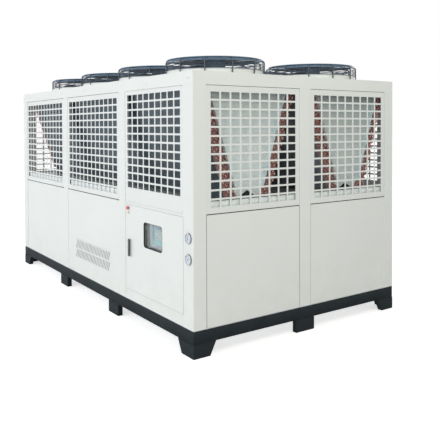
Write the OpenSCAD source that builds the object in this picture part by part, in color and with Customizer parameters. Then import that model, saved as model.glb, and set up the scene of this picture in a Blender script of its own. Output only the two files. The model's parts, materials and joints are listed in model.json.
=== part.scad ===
// Air cooled water chiller: a sheet steel cabinet on a channel base, with leaning condenser coils
// behind punched grilles and two rows of axial fans on the roof.
// The control side faces -Y, the right end faces +X, and the feet stand on Z = 0. Millimetres.

/* [Base] */
// Height of the feet
foot_h = 105; // [80:1:140]
// Length of a corner foot along the long sides, at the floor
corner_foot_l = 170; // [140:1:190]
// Length of a corner foot along the short ends, at the floor
corner_foot_w = 148; // [120:1:170]
// How much longer both are at the foot's top
corner_foot_flare = 53; // [20:1:60]
// Length of a middle foot along the cabinet's face
middle_foot_l = 200; // [150:5:260]
// Depth of a middle foot, from the cabinet's face inwards
middle_foot_d = 46; // [30:1:85]
// Distance of the long sides' middle feet from the cabinet's middle
middle_foot_x = 616; // [400:2:900]
// Height of the base channels
rail_h = 100; // [80:1:140]
// Flange width of the base channels
rail_w = 90; // [70:1:100]
// Web and flange thickness of the base channels
rail_t = 8; // [5:0.5:12]
// How far the base channels stand back from the cabinet's faces
rail_inset = 2; // [1:1:45]
// Thickness of the floor sheet on the base
pan_t = 5; // [3:0.5:8]

/* [Cabinet] */
// Length over the corner posts
cabinet_l = 3960; // [3900:10:4200]
// Width over the corner posts
cabinet_w = 2200; // [2190:2:2300]
// Height of the lower panels
lower_h = 836; // [800:2:900]
// Open seam between a lower panel and the grille above it
seam = 6; // [3:1:8]
// Open seam between the grilles and the roof's fascia
roof_seam = 2; // [1:0.5:4]
// Leg of a corner post along the long sides
post_long = 135; // [125:1:150]
// Leg of a corner post along the short ends
post_end = 115; // [100:1:120]
// Depth of the folded corner posts and mullions
post_t = 40; // [36:1:44]
// Radius of the fold at the cabinet's corners
fold_r = 8; // [4:0.5:12]
// Width of the mullions between panels
mullion_w = 120; // [100:2:130]
// Thickness of the lower panels
panel_t = 30; // [20:1:34]
// How far panels, grilles and the door stand back behind the posts
reveal = 3; // [2:0.5:5]
// Gap beside a panel or a fixed sheet that is set between others
fit = 0.3; // [0.2:0.1:0.5]

/* [Grilles] */
// Thickness of a grille sheet
grille_t = 5; // [3:0.5:8]
// Plain margin at the sides of a grille
grille_side = 45; // [40:1:60]
// Plain margin over and under a full grille
grille_end = 48; // [40:1:60]
// Plain margin over the shorter grille of the control bay
control_grille_top = 36; // [30:1:50]
// Width of the upright bars between holes
bar_w = 21; // [16:0.5:24]
// Height of the level bars between holes
bar_h = 17.5; // [14:0.5:20]
// Rows of holes in a full grille
grille_rows = 13; // [11:1:14]
// Rows of holes in the control bay's grille
control_rows = 12; // [10:1:12]
// Columns of holes in a wide grille of the long sides
wide_cols = 12; // [10:1:13]
// Columns of holes in a grille of the control bay and of the ends
narrow_cols = 9; // [7:1:10]

/* [Vent] */
// Width of the slotted vent in the front's middle panel
vent_w = 840; // [600:10:1000]
// Height of the slotted vent
vent_h = 198; // [150:1:240]
// Height of the vent's lower edge over the floor sheet
vent_z = 150; // [100:5:300]
// Thickness of the vent plate
vent_t = 3; // [2:0.5:5]
// Slots in a row of the vent
vent_slots = 24; // [16:1:28]
// Width of a slot
slot_w = 12; // [8:0.5:14]
// Plain margin around the vent's two rows of slots, and between them
slot_margin = 8; // [5:1:15]
// Lean of the slots
slot_lean = 25; // [0:1:30]

/* [Control bay] */
// Width of the control bay between post and mullion
control_bay_w = 970; // [940:5:1000]
// Height of the fixed sill under the door
sill_h = 80; // [60:1:110]
// Depth of the sill
sill_d = 100; // [80:1:130]
// Height of the header bar over the door
header_h = 10; // [8:1:16]
// Depth of the header bar
header_d = 60; // [45:1:80]
// Open gap around the door
door_gap = 9; // [8:0.5:12]
// Thickness of the door over its folded rim
door_t = 30; // [26:1:34]
// Thickness of the door's face sheet
door_face_t = 4; // [3:0.5:6]
// Width of the folded rim around the door's back
door_rim = 24; // [20:1:32]
// Width of the frame around the window on the door's back
window_frame = 16; // [10:1:20]
// Distance of the hinge axis from the door's edge and face
hinge_inset = 9; // [8.5:0.25:10]
// Radius of the hinge pins
pin_r = 5; // [4:0.25:6]
// Radial clearance of the hinge pins
pin_clear = 0.2; // [0.1:0.05:0.4]
// Length of a hinge pin inside the door
pin_l = 14; // [10:1:20]
// Width of the door's window
window_w = 310; // [260:5:360]
// Height of the door's window
window_h = 210; // [180:5:250]
// Corner radius of the window
window_r = 28; // [10:1:40]
// Distance of the window's left edge from the door's left edge
window_x = 326; // [250:2:380]
// Distance of the window's lower edge from the door's lower edge
window_z = 402; // [320:2:460]
// Thickness of the window pane
pane_t = 5; // [3:0.5:8]
// How far the pane stands back from the door's face
pane_back = 12; // [6:0.5:18]
// Rim of the controller's plate around the window
controller_rim = 20; // [12:1:30]
// Thickness of the controller's plate
controller_plate_t = 8; // [4:0.5:12]
// Depth of the controller's housing behind its plate
controller_d = 42; // [30:1:50]
// How far the door handle and the pipe flanges stand proud of the panels
proud = 24; // [22:0.5:30]
// Length of the handle
handle_l = 160; // [130:2:190]
// Width of the handle's plate
handle_w = 30; // [24:1:40]
// Thickness of the handle's plate
handle_plate_t = 7; // [5:0.5:10]
// Distance of the handle from the door's free edge
handle_x = 78; // [55:1:90]
// Height of the handle's middle over the door's lower edge
handle_z = 363; // [300:1:420]
// Distance of the push button and the lamp from the door's free edge
button_x = 50; // [40:1:60]
// Distance of the push button from the door's top edge
button_top = 27; // [24:1:40]
// Distance from the push button down to the lamp
lamp_drop = 39; // [36:1:50]
// Radius of the push button
button_r = 19; // [15:0.5:20]
// Radius of the lamp
lamp_r = 15; // [10:0.5:16]
// Gap between the door's back and the control box
box_gap = 12; // [8:1:16]
// Depth of the control box
box_d = 220; // [180:2:260]
// Wall thickness of the control box
box_wall = 8; // [5:0.5:12]

/* [Gauges] */
// Radius of a gauge's bezel
gauge_r = 40; // [38:0.5:48]
// How far the bezel stands out
gauge_t = 12; // [8:0.5:16]
// Radius of a gauge's body in the post
gauge_body_r = 33; // [28:0.5:36]
// Depth of a gauge's body in the post
gauge_body_d = 34; // [20:1:35]
// Distance of the gauges from the cabinet's corner
gauge_x = 62; // [55:1:75]
// Height of the upper gauge over the floor sheet
gauge_z = 671; // [600:1:720]
// Distance from the upper gauge down to the lower one
gauge_drop = 157; // [110:1:200]

/* [Roof] */
// Height of the fascia around the roof
fascia_h = 100; // [90:2:130]
// Thickness of the fascia
fascia_t = 25; // [20:1:30]
// Thickness of the roof sheets and fan plates
deck_t = 20; // [12:1:24]
// Plain strip of roof at the right end, up to the first fan plate
strip_right = 72.5; // [60:0.5:120]
// Plain strip of roof at the left end, from the last fan plate
strip_left = 307.5; // [220:0.5:330]
// Width of the beam under the roof's middle
beam_w = 60; // [40:2:70]
// Height of the beam under the roof's middle
beam_h = 50; // [40:2:70]

/* [Fans] */
// Gap between the guards of neighbouring fans
guard_gap = 45; // [36:1:60]
// How far a guard reaches beyond the throat under it
guard_margin = 25; // [22:1:40]
// Wall of the collar around a throat
collar_t = 8; // [5:0.5:9]
// Height of the collar over the roof
collar_h = 52; // [25:1:60]
// Height of a guard over the roof
guard_h = 144; // [130:1:160]
// Side of the guard's ring wires
wire = 6; // [4:0.5:8]
// Side of the bars that are bent to a guard's spokes and posts
guard_bar = 8; // [6:0.5:9]
// Radius of the bend between a spoke and its post
guard_bend = 22; // [20:1:40]
// Spokes of a guard, each with a post under its end
guard_spokes = 12; // [8:2:16]
// Rings of a guard
guard_rings = 8; // [4:1:9]
// Radius of the plate in a guard's middle
guard_hub_r = 100; // [90:1:120]
// How far that plate lies inside the upper and lower sides of the bars
guard_hub_inset = 1; // [0.5:0.5:2]
// Radius of a fan motor
motor_r = 85; // [70:1:88]
// Height of a fan motor
motor_h = 60; // [50:1:64]
// Radius of a motor's shaft
shaft_r = 16; // [12:0.5:20]
// Radial clearance of a fan hub on its shaft
shaft_clear = 0.3; // [0.2:0.05:0.5]
// Radius of a fan's hub
hub_r = 95; // [92:1:110]
// Height of a fan's hub
hub_h = 40; // [30:1:44]
// Gap between a motor and the hub under it
hub_gap = 7; // [6:0.5:10]
// Blades of a fan
blades = 5; // [4:1:7]
// Clearance of the blade tips in the throat
tip_clear = 9; // [6:0.5:14]
// Chord of a blade at the hub
root_chord = 115; // [90:1:130]
// Chord of a blade at its tip
tip_chord = 165; // [130:1:180]
// Sweep of a blade's tip
blade_sweep = 60; // [0:2:80]
// Thickness of a blade
blade_t = 5; // [3:0.5:7]
// Pitch of the blades
blade_pitch = 24; // [15:1:26]
// Radius of the blades' hollow side
blade_camber_r = 320; // [260:5:600]

/* [Coils] */
// Height of the rails that carry the coil deck
deck_rail_h = 73; // [60:1:100]
// Depth of the rails that carry the coil deck
deck_rail_w = 40; // [30:1:50]
// Thickness of the coil deck
coil_deck_t = 6; // [4:0.5:10]
// Thickness of the drip trays that the coils stand in
tray_t = 18; // [10:1:30]
// Overhang of a drip tray beyond the coils' outer faces
tray_lap = 6; // [2:1:20]
// Height of the coils over their trays
coil_h = 912; // [800:2:1000]
// Thickness of a coil, measured level
coil_t = 119; // [100:1:140]
// Lean of the coils
coil_lean = 17.5; // [12:0.25:19]
// Gap between the coils' upper ends and the roof
coil_top_gap = 35; // [25:1:60]
// Gap between a coil's upper edge and the posts of the long sides
coil_side_gap = 7; // [5:1:30]
// Gap between the two pairs of coils at their upper ends
coil_middle_gap = 86; // [76:1:130]
// Distance of the coils' right ends from the cabinet's right end
coil_setback = 80; // [79:1:110]
// Distance of the coils' left ends from the cabinet's left end
coil_left_gap = 260; // [120:1:320]
// Radius of a return bend
bend_r = 30; // [22:1:30]
// Radius of the coil tubes
tube_r = 8; // [5:0.5:8.5]
// Distance between return bends, up the coil
bend_pitch = 50; // [36:1:70]
// Thickness of the plates that close the ends between a pair of coils
end_plate_t = 3; // [2:0.5:5]
// Overlap of those plates on the coils
end_plate_lap = 15; // [8:1:20]
// Height of the notch over the drain at the foot of those plates
plate_notch_h = 58; // [30:1:80]

/* [Water connections] */
// Inner radius of a water pipe
pipe_r = 50; // [40:1:55]
// Wall of a water pipe
pipe_wall = 7; // [4:0.5:9]
// Length of a pipe behind the panel's face
pipe_in = 80; // [60:1:120]
// Radius of a flange
flange_r = 110; // [100:1:120]
// Radius of the flange's bolt circle
flange_bolt_circle = 90; // [82:1:95]
// Radius of a flange's bolt holes
flange_bolt_r = 9; // [7:0.5:10]
// Bolt holes of a flange
flange_bolts = 8; // [4:4:12]
// Height of the lower water pipe over the floor sheet
pipe_z = 230; // [180:5:300]
// Distance from the lower to the upper water pipe
pipe_rise = 380; // [300:5:420]

/* [Hidden] */
$fn = 64;

// Overlap that keeps fused and cut shapes clean
eps = 1;

// Levels
rail_top = foot_h + rail_h;
base_top = rail_top + pan_t;
lower_top = base_top + lower_h;
grille_z = lower_top + seam;
coil_deck_z = lower_top + deck_rail_h + coil_deck_t;
coil_z = coil_deck_z + tray_t;
roof_z = coil_z + coil_h + coil_top_gap + deck_t;
fascia_z = roof_z - fascia_h;
upper_h = fascia_z - roof_seam - grille_z;
guard_top = roof_z + guard_h;

// Faces of the cabinet
right_x = cabinet_l / 2;
left_x = -cabinet_l / 2;
front_y = -cabinet_w / 2;
back_y = cabinet_w / 2;

// Bays of the long sides, from left to right, and of the ends
wide_bay_w = (cabinet_l - 2 * post_long - 2 * mullion_w - control_bay_w) / 2;
bay_w = [wide_bay_w, wide_bay_w, control_bay_w];
bay_x = [
    left_x + post_long,
    left_x + post_long + wide_bay_w + mullion_w,
    right_x - post_long - control_bay_w
];
end_bay_w = (cabinet_w - 2 * post_end - mullion_w) / 2;
end_bay_y = [front_y + post_end, mullion_w / 2];

// Holes of the grilles
hole_h = (upper_h - 2 * grille_end - (grille_rows - 1) * bar_h) / grille_rows;

// Control door
door_x0 = bay_x[2] + door_gap;
door_x1 = right_x - post_long - door_gap;
door_w = door_x1 - door_x0;
door_z0 = base_top + sill_h + door_gap;
door_z1 = lower_top - header_h - door_gap;
door_h = door_z1 - door_z0;
door_y = front_y + reveal;
hinge_x = door_x1 - hinge_inset;
hinge_y = door_y + hinge_inset;
box_y = door_y + door_t + box_gap;
box_x0 = bay_x[2] + door_gap;
box_z0 = base_top + sill_h;
box_h = door_z1 - box_z0;

// Coils: a pair leans apart under each row of fans
pair_half = (cabinet_w / 2 - post_t - coil_side_gap - coil_middle_gap / 2) / 2;
v_spread = coil_h * tan(coil_lean);
v_half = pair_half - coil_t - v_spread;
coil_ends = [right_x - coil_setback, left_x + coil_left_gap];
coil_l = coil_ends[0] - coil_ends[1];
bend_margin = bend_pitch / 2 + tube_r;
bend_count = floor((coil_h - 2 * bend_margin) / bend_pitch) + 1;

// Fans, from right to left, with the front row first
fans_per_row = 4;
fan_pitch = (cabinet_l - strip_right - strip_left) / fans_per_row;
fan_row = coil_middle_gap / 2 + pair_half;
fan_xs = [for (i = [0:fans_per_row - 1]) right_x - strip_right - (i + 0.5) * fan_pitch];
fan_places = concat([for (x = fan_xs) [x, -fan_row]], [for (x = fan_xs) [x, fan_row]]);
guard_r = (fan_pitch - guard_gap) / 2;
throat_r = guard_r - guard_margin;
tip_r = throat_r - tip_clear;
spoke_z = guard_top - wire / 2 - guard_bar;
spoke_end_r = guard_r - guard_bar / 2 - guard_bend;
post_top = spoke_z + guard_bar / 2 - guard_bend;
motor_z = spoke_z + guard_hub_inset - motor_h;
hub_z = motor_z - hub_gap - hub_h;

// Colours
cream = [0.93, 0.93, 0.91];
charcoal = [0.16, 0.18, 0.19];
navy = [0.22, 0.27, 0.33];
copper = [0.56, 0.31, 0.25];
fin_grey = [0.32, 0.35, 0.36];
sheet_grey = [0.75, 0.78, 0.77];

// Base

// Side view of a corner foot that is as long as given at the floor and flares towards its top
module foot_profile(length) {
    polygon([
        [0, 0],
        [length, 0],
        [length + corner_foot_flare, foot_h],
        [0, foot_h]
    ]);
}

module corner_foot() {
    top_l = corner_foot_l + corner_foot_flare;
    top_w = corner_foot_w + corner_foot_flare;
    intersection() {
        rotate([90, 0, 0])
            translate([0, 0, -top_w - eps])
                linear_extrude(top_w + 2 * eps)
                    foot_profile(corner_foot_l);
        rotate([90, 0, 90])
            translate([0, 0, -eps])
                linear_extrude(top_l + 2 * eps)
                    foot_profile(corner_foot_w);
    }
}

module feet() {
    color(charcoal) {
        for (mx = [0, 1], my = [0, 1])
            mirror([mx, 0, 0])
                mirror([0, my, 0])
                    translate([left_x, front_y, 0])
                        corner_foot();
        for (x = [-middle_foot_x, middle_foot_x], y = [front_y, back_y - middle_foot_d])
            translate([x - middle_foot_l / 2, y, 0])
                cube([middle_foot_l, middle_foot_d, foot_h]);
        for (x = [left_x, right_x - middle_foot_d])
            translate([x, -middle_foot_l / 2, 0])
                cube([middle_foot_d, middle_foot_l, foot_h]);
    }
}

// A channel along +X with its web at Y = 0 and its flanges towards +Y
module channel(length) {
    rotate([90, 0, 90])
        linear_extrude(length)
            polygon([
                [0, 0],
                [rail_w, 0],
                [rail_w, rail_t],
                [rail_t, rail_t],
                [rail_t, rail_h - rail_t],
                [rail_w, rail_h - rail_t],
                [rail_w, rail_h],
                [0, rail_h]
            ]);
}

// A channel of the base's outer frame, cut on the slant at both ends
module mitred_channel(length) {
    intersection() {
        channel(length);
        translate([0, 0, -eps])
            linear_extrude(rail_h + 2 * eps)
                polygon([
                    [fit - eps, -eps],
                    [length - fit + eps, -eps],
                    [length - fit - rail_w - eps, rail_w + eps],
                    [fit + rail_w + eps, rail_w + eps]
                ]);
    }
}

module base_rails() {
    side_l = cabinet_l - 2 * rail_inset;
    end_l = cabinet_w - 2 * rail_inset;
    color(charcoal)
        for (m = [0, 1]) {
            mirror([0, m, 0])
                translate([-side_l / 2, front_y + rail_inset, foot_h])
                    mitred_channel(side_l);
            mirror([m, 0, 0])
                translate([right_x - rail_inset, -end_l / 2, foot_h])
                    rotate([0, 0, 90])
                        mitred_channel(end_l);
        }
}

module base_cross_members() {
    length = cabinet_w - 2 * rail_inset - 2 * rail_w - 2 * fit;
    color(charcoal)
        for (mx = [0, 1])
            mirror([mx, 0, 0])
                translate([middle_foot_x + rail_w / 2, -length / 2, foot_h])
                    rotate([0, 0, 90])
                        channel(length);
}

module floor_pan() {
    color(sheet_grey)
        translate([left_x + reveal, front_y + reveal, rail_top])
            cube([cabinet_l - 2 * reveal, cabinet_w - 2 * reveal, pan_t]);
}

// Cabinet

// Quarter of a circle around [x, y], from the given angle on
function quarter(x, y, r, from, steps = 5) = [
    for (i = [0:steps])
        let (a = from + 90 * i / steps)
        [x + r * cos(a), y + r * sin(a)]
];

// An upright L of two legs, with its outer corner folded round at the left front
module corner_post() {
    linear_extrude(fascia_z - base_top)
        polygon(concat(
            quarter(fold_r, fold_r, fold_r, 180),
            [
                [post_long, 0],
                [post_long, post_t],
                [post_t, post_t],
                [post_t, post_end],
                [0, post_end]
            ]
        ));
}

module gauge_places() {
    for (drop = [0, gauge_drop])
        translate([right_x - gauge_x, front_y, base_top + gauge_z - drop])
            rotate([90, 0, 0])
                children();
}

module corner_posts() {
    color(cream)
        difference() {
            for (mx = [0, 1], my = [0, 1])
                mirror([mx, 0, 0])
                    mirror([0, my, 0])
                        translate([left_x, front_y, base_top])
                            corner_post();
            gauge_places()
                translate([0, 0, -post_t - eps])
                    cylinder(r = gauge_body_r + fit, h = post_t + 2 * eps);
        }
}

module mullions() {
    height = fascia_z - base_top;
    color(cream) {
        for (x = [bay_x[1] - mullion_w, bay_x[2] - mullion_w], y = [front_y, back_y - post_t])
            translate([x, y, base_top])
                cube([mullion_w, post_t, height]);
        for (x = [left_x, right_x - post_t])
            translate([x, -mullion_w / 2, base_top])
                cube([post_t, mullion_w, height]);
    }
}

// Puts a sheet of thickness t, drawn from the origin along +X, in bay i of a side or an end
module on_front(i, z) {
    translate([bay_x[i], front_y + reveal, z])
        children();
}

module on_back(i, z, t) {
    translate([bay_x[i], back_y - reveal - t, z])
        children();
}

module on_right(i, z) {
    translate([right_x - reveal, end_bay_y[i], z])
        rotate([0, 0, 90])
            children();
}

module on_left(i, z, t) {
    translate([left_x + reveal + t, end_bay_y[i], z])
        rotate([0, 0, 90])
            children();
}

module lower_panel(w) {
    translate([fit, 0, 0])
        cube([w - 2 * fit, panel_t, lower_h]);
}

module front_lower_panels() {
    color(cream) {
        on_front(0, base_top)
            lower_panel(wide_bay_w);
        on_front(1, base_top)
            difference() {
                lower_panel(wide_bay_w);
                translate([(wide_bay_w - vent_w) / 2 - fit, -eps, vent_z - fit])
                    cube([vent_w + 2 * fit, panel_t + 2 * eps, vent_h + 2 * fit]);
            }
    }
}

module vent_louvre() {
    row_h = (vent_h - 3 * slot_margin) / 2;
    slot_l = (row_h - slot_w * sin(slot_lean)) / cos(slot_lean);
    slot_reach = slot_l * sin(slot_lean) + slot_w * cos(slot_lean);
    first_x = slot_margin + slot_reach / 2;
    slot_pitch = (vent_w - 2 * first_x) / (vent_slots - 1);
    color(cream)
        on_front(1, base_top + vent_z)
            translate([(wide_bay_w - vent_w) / 2, 0, 0])
                difference() {
                    cube([vent_w, vent_t, vent_h]);
                    for (k = [0:vent_slots - 1], row = [0, 1])
                        translate([
                            first_x + k * slot_pitch,
                            vent_t / 2,
                            slot_margin + row_h / 2 + row * (slot_margin + row_h)
                        ])
                            rotate([0, slot_lean, 0])
                                cube([slot_w, vent_t + 2 * eps, slot_l], center = true);
                }
}

module pipe_places() {
    for (rise = [0, pipe_rise])
        translate([bay_x[0] + wide_bay_w / 2, back_y - reveal, base_top + pipe_z + rise])
            rotate([-90, 0, 0])
                children();
}

module back_lower_panels() {
    color(cream)
        difference() {
            for (i = [0:2])
                on_back(i, base_top, panel_t)
                    lower_panel(bay_w[i]);
            pipe_places()
                translate([0, 0, -panel_t - eps])
                    cylinder(r = pipe_r + pipe_wall + fit, h = panel_t + 2 * eps);
        }
}

module end_lower_panels() {
    color(cream)
        for (i = [0, 1]) {
            on_right(i, base_top)
                lower_panel(end_bay_w);
            on_left(i, base_top, panel_t)
                lower_panel(end_bay_w);
        }
}

// A sheet with rows and columns of square holes, the first row's upper edge at top below the sheet's own
module grille_sheet(w, cols, rows, top) {
    hole_w = (w - 2 * grille_side - (cols - 1) * bar_w) / cols;
    difference() {
        translate([fit, 0, 0])
            cube([w - 2 * fit, grille_t, upper_h]);
        for (c = [0:cols - 1], r = [0:rows - 1])
            translate([
                grille_side + c * (hole_w + bar_w),
                -eps,
                upper_h - top - hole_h - r * (hole_h + bar_h)
            ])
                cube([hole_w, grille_t + 2 * eps, hole_h]);
    }
}

module wide_grille() {
    color(cream)
        grille_sheet(wide_bay_w, wide_cols, grille_rows, grille_end);
}

module control_grille() {
    color(cream)
        grille_sheet(control_bay_w, narrow_cols, control_rows, control_grille_top);
}

module end_grille() {
    color(cream)
        grille_sheet(end_bay_w, narrow_cols, grille_rows, grille_end);
}

module front_grille_left() {
    on_front(0, grille_z) wide_grille();
}

module front_grille_middle() {
    on_front(1, grille_z) wide_grille();
}

module front_grille_right() {
    on_front(2, grille_z) control_grille();
}

module back_grille_left() {
    on_back(0, grille_z, grille_t) wide_grille();
}

module back_grille_middle() {
    on_back(1, grille_z, grille_t) wide_grille();
}

module back_grille_right() {
    on_back(2, grille_z, grille_t) control_grille();
}

module right_grille_front() {
    on_right(0, grille_z) end_grille();
}

module right_grille_back() {
    on_right(1, grille_z) end_grille();
}

module left_grille_front() {
    on_left(0, grille_z, grille_t) end_grille();
}

module left_grille_back() {
    on_left(1, grille_z, grille_t) end_grille();
}

// Roof

module roof_fascia() {
    end_l = cabinet_w - 2 * fascia_t - 2 * fit;
    color(cream) {
        for (my = [0, 1])
            mirror([0, my, 0])
                translate([left_x, front_y, fascia_z])
                    linear_extrude(fascia_h)
                        polygon(concat(
                            quarter(fold_r, fold_r, fold_r, 180),
                            quarter(cabinet_l - fold_r, fold_r, fold_r, 270),
                            [[cabinet_l, fascia_t], [0, fascia_t]]
                        ));
        for (x = [left_x, right_x - fascia_t])
            translate([x, -end_l / 2, fascia_z])
                cube([fascia_t, end_l, fascia_h]);
    }
}

module roof_beam() {
    length = cabinet_l - 2 * fascia_t - 2 * fit;
    color(sheet_grey)
        translate([-length / 2, -beam_w / 2, roof_z - deck_t - beam_h])
            cube([length, beam_w, beam_h]);
}

module roof_end_sheets() {
    inner_w = cabinet_w - 2 * fascia_t - 2 * fit;
    right_from = fan_xs[0] + fan_pitch / 2 + fit;
    left_to = fan_xs[fans_per_row - 1] - fan_pitch / 2 - fit;
    color(cream) {
        translate([right_from, -inner_w / 2, roof_z - deck_t])
            cube([right_x - fascia_t - fit - right_from, inner_w, deck_t]);
        translate([left_x + fascia_t + fit, -inner_w / 2, roof_z - deck_t])
            cube([left_to - left_x - fascia_t - fit, inner_w, deck_t]);
    }
}

// A roof plate with a throat and its collar; the fan's axis is at the origin
module fan_plate() {
    depth = back_y - fascia_t - 2 * fit;
    difference() {
        union() {
            translate([-fan_pitch / 2 + fit, fit - fan_row, -deck_t])
                cube([fan_pitch - 2 * fit, depth, deck_t]);
            translate([0, 0, -deck_t / 2])
                cylinder(r = throat_r + collar_t, h = deck_t / 2 + collar_h);
        }
        translate([0, 0, -deck_t - eps])
            cylinder(r = throat_r, h = deck_t + collar_h + 2 * eps);
    }
}

module fan_plates() {
    color(cream)
        for (x = fan_xs, my = [0, 1])
            mirror([0, my, 0])
                translate([x, fan_row, roof_z])
                    fan_plate();
}

// Fans

// Level ring of the guard's wire, r to its outer edge
module wire_ring(r) {
    rotate_extrude()
        translate([r - wire, 0])
            square(wire);
}

// Quarter bend that takes a spoke's outer end down to its post
module guard_corner() {
    translate([spoke_end_r, 0, guard_bar / 2 - guard_bend])
        rotate([90, 0, 0])
            rotate_extrude(angle = 90)
                translate([guard_bend - guard_bar / 2, -guard_bar / 2])
                    square(guard_bar);
}

// Grille over one fan, from its spokes' lower side up
module guard_top_grille() {
    ring_step = (spoke_end_r - wire - guard_hub_r) / guard_rings;
    bar_start = (motor_r + guard_hub_r) / 2;
    translate([0, 0, guard_bar - wire / 2])
        for (k = [1:guard_rings])
            wire_ring(guard_hub_r + k * ring_step);
    for (k = [0:guard_spokes - 1])
        rotate([0, 0, (k + 0.5) * 360 / guard_spokes]) {
            translate([bar_start, -guard_bar / 2, 0])
                cube([spoke_end_r - bar_start, guard_bar, guard_bar]);
            guard_corner();
        }
    translate([0, 0, guard_hub_inset])
        cylinder(r = guard_hub_r, h = guard_bar - 2 * guard_hub_inset);
}

module front_fan_guards() {
    color(navy)
        for (x = fan_xs)
            translate([x, -fan_row, spoke_z])
                guard_top_grille();
}

module back_fan_guards() {
    color(navy)
        for (x = fan_xs)
            translate([x, fan_row, spoke_z])
                guard_top_grille();
}

module fan_guard_posts() {
    color(navy)
        for (place = fan_places, k = [0:guard_spokes - 1])
            translate([place[0], place[1], roof_z])
                rotate([0, 0, (k + 0.5) * 360 / guard_spokes])
                    translate([guard_r - guard_bar, -guard_bar / 2, 0])
                        cube([guard_bar, guard_bar, post_top - roof_z]);
}

module fan_motors() {
    color(charcoal)
        for (place = fan_places)
            translate([place[0], place[1], 0]) {
                translate([0, 0, motor_z])
                    cylinder(r = motor_r, h = motor_h);
                translate([0, 0, hub_z])
                    cylinder(r = shaft_r, h = motor_z - hub_z + eps);
            }
}

// Swept outline of a blade along +X
function blade_edge(side, steps = 8) = [
    for (i = [0:steps])
        let (
            t = i / steps,
            r = hub_r / 2 + t * (throat_r - hub_r / 2),
            chord = root_chord + t * (tip_chord - root_chord)
        )
        [r, blade_sweep * t * t + side * chord / 2]
];

function reversed(list) = [for (i = [len(list) - 1:-1:0]) list[i]];

// Hollow sheet that the blades are cut from, curved about X
module blade_sheet() {
    translate([0, 0, -blade_camber_r])
        rotate([0, 90, 0])
            difference() {
                cylinder(r = blade_camber_r + blade_t / 2, h = throat_r);
                translate([0, 0, -eps])
                    cylinder(r = blade_camber_r - blade_t / 2, h = throat_r + 2 * eps);
            }
}

module blade() {
    intersection() {
        rotate([blade_pitch, 0, 0])
            intersection() {
                translate([0, 0, -tip_chord / 2])
                    linear_extrude(tip_chord)
                        polygon(concat(blade_edge(-1), reversed(blade_edge(1))));
                blade_sheet();
            }
        difference() {
            cylinder(r = tip_r, h = 2 * tip_chord, center = true);
            cylinder(r = hub_r - eps, h = 2 * tip_chord + 2 * eps, center = true);
        }
    }
}

// Fan wheel on place i, its blades sweeping one way
module fan_rotor(i) {
    color(navy)
        translate([fan_places[i][0], fan_places[i][1], hub_z]) {
            difference() {
                cylinder(r = hub_r, h = hub_h);
                translate([0, 0, -eps])
                    cylinder(r = shaft_r + shaft_clear, h = hub_h + 2 * eps);
            }
            for (k = [0:blades - 1])
                translate([0, 0, hub_h / 2])
                    rotate([0, 0, k * 360 / blades])
                        blade();
        }
}

// Coils

module coil_deck_rails() {
    side_l = cabinet_l - 2 * post_t - 2 * fit;
    end_l = cabinet_w - 2 * post_t - 2 * deck_rail_w - 2 * fit;
    color(sheet_grey)
        for (m = [0, 1]) {
            mirror([0, m, 0])
                translate([-side_l / 2, front_y + post_t, lower_top])
                    cube([side_l, deck_rail_w, deck_rail_h]);
            mirror([m, 0, 0])
                translate([left_x + post_t, -end_l / 2, lower_top])
                    cube([deck_rail_w, end_l, deck_rail_h]);
        }
}

module coil_deck() {
    length = cabinet_l - 2 * post_t - 2 * fit;
    width = cabinet_w - 2 * post_t - 2 * fit;
    color(sheet_grey)
        translate([-length / 2, -width / 2, coil_deck_z - coil_deck_t])
            cube([length, width, coil_deck_t]);
}

// A drip tray under each pair of coils
module coil_trays() {
    width = 2 * (v_half + coil_t + tray_lap);
    color(charcoal)
        for (y = [-fan_row, fan_row])
            translate([coil_ends[1], y - width / 2, coil_deck_z])
                cube([coil_l, width, tray_t]);
}

// Runs its children for the four leaning coils, each drawn as the outer coil of a pair at Y = 0
module at_coils() {
    for (row = [-1, 1], side = [0, 1])
        translate([0, row * fan_row, 0])
            mirror([0, side, 0])
                children();
}

module condenser_coils() {
    color(fin_grey)
        at_coils()
            translate([coil_ends[1], 0, coil_z])
                rotate([90, 0, 90])
                    linear_extrude(coil_l)
                        polygon([
                            [v_half, 0],
                            [v_half + coil_t, 0],
                            [v_half + coil_t + v_spread, coil_h],
                            [v_half + v_spread, coil_h]
                        ]);
}

module return_bends() {
    color(copper)
        at_coils()
            for (k = [0:bend_count - 1], end = [0, 1])
                let (z = bend_margin + k * bend_pitch)
                    translate([
                        coil_ends[end],
                        v_half + coil_t / 2 + z * tan(coil_lean),
                        coil_z + z
                    ])
                        mirror([end, 0, 0])
                            rotate([0, 0, -90])
                                rotate_extrude(angle = 180)
                                    translate([bend_r, 0])
                                        circle(r = tube_r, $fn = 24);
}

module coil_end_plates() {
    low = v_half + end_plate_lap;
    high = low + v_spread;
    color(sheet_grey)
        for (y = [-fan_row, fan_row], end = [0, 1])
            translate([coil_ends[end], y, coil_z])
                mirror([end, 0, 0])
                    rotate([90, 0, 90])
                        linear_extrude(end_plate_t)
                            polygon([
                                [-low, 0],
                                [-v_half, 0],
                                [0, plate_notch_h],
                                [v_half, 0],
                                [low, 0],
                                [high, coil_h],
                                [-high, coil_h]
                            ]);
}

// Control bay

// Fixed sill and header of the door, each with a hinge pin
module door_frame() {
    width = control_bay_w - 2 * fit;
    color(cream) {
        translate([bay_x[2] + fit, door_y, base_top])
            cube([width, sill_d, sill_h]);
        translate([hinge_x, hinge_y, door_z0 - door_gap - eps])
            cylinder(r = pin_r, h = door_gap + pin_l + eps);
        translate([bay_x[2] + fit, door_y, lower_top - header_h])
            cube([width, header_d, header_h]);
        translate([hinge_x, hinge_y, door_z1 - pin_l])
            cylinder(r = pin_r, h = door_gap + pin_l + eps);
    }
}

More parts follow.
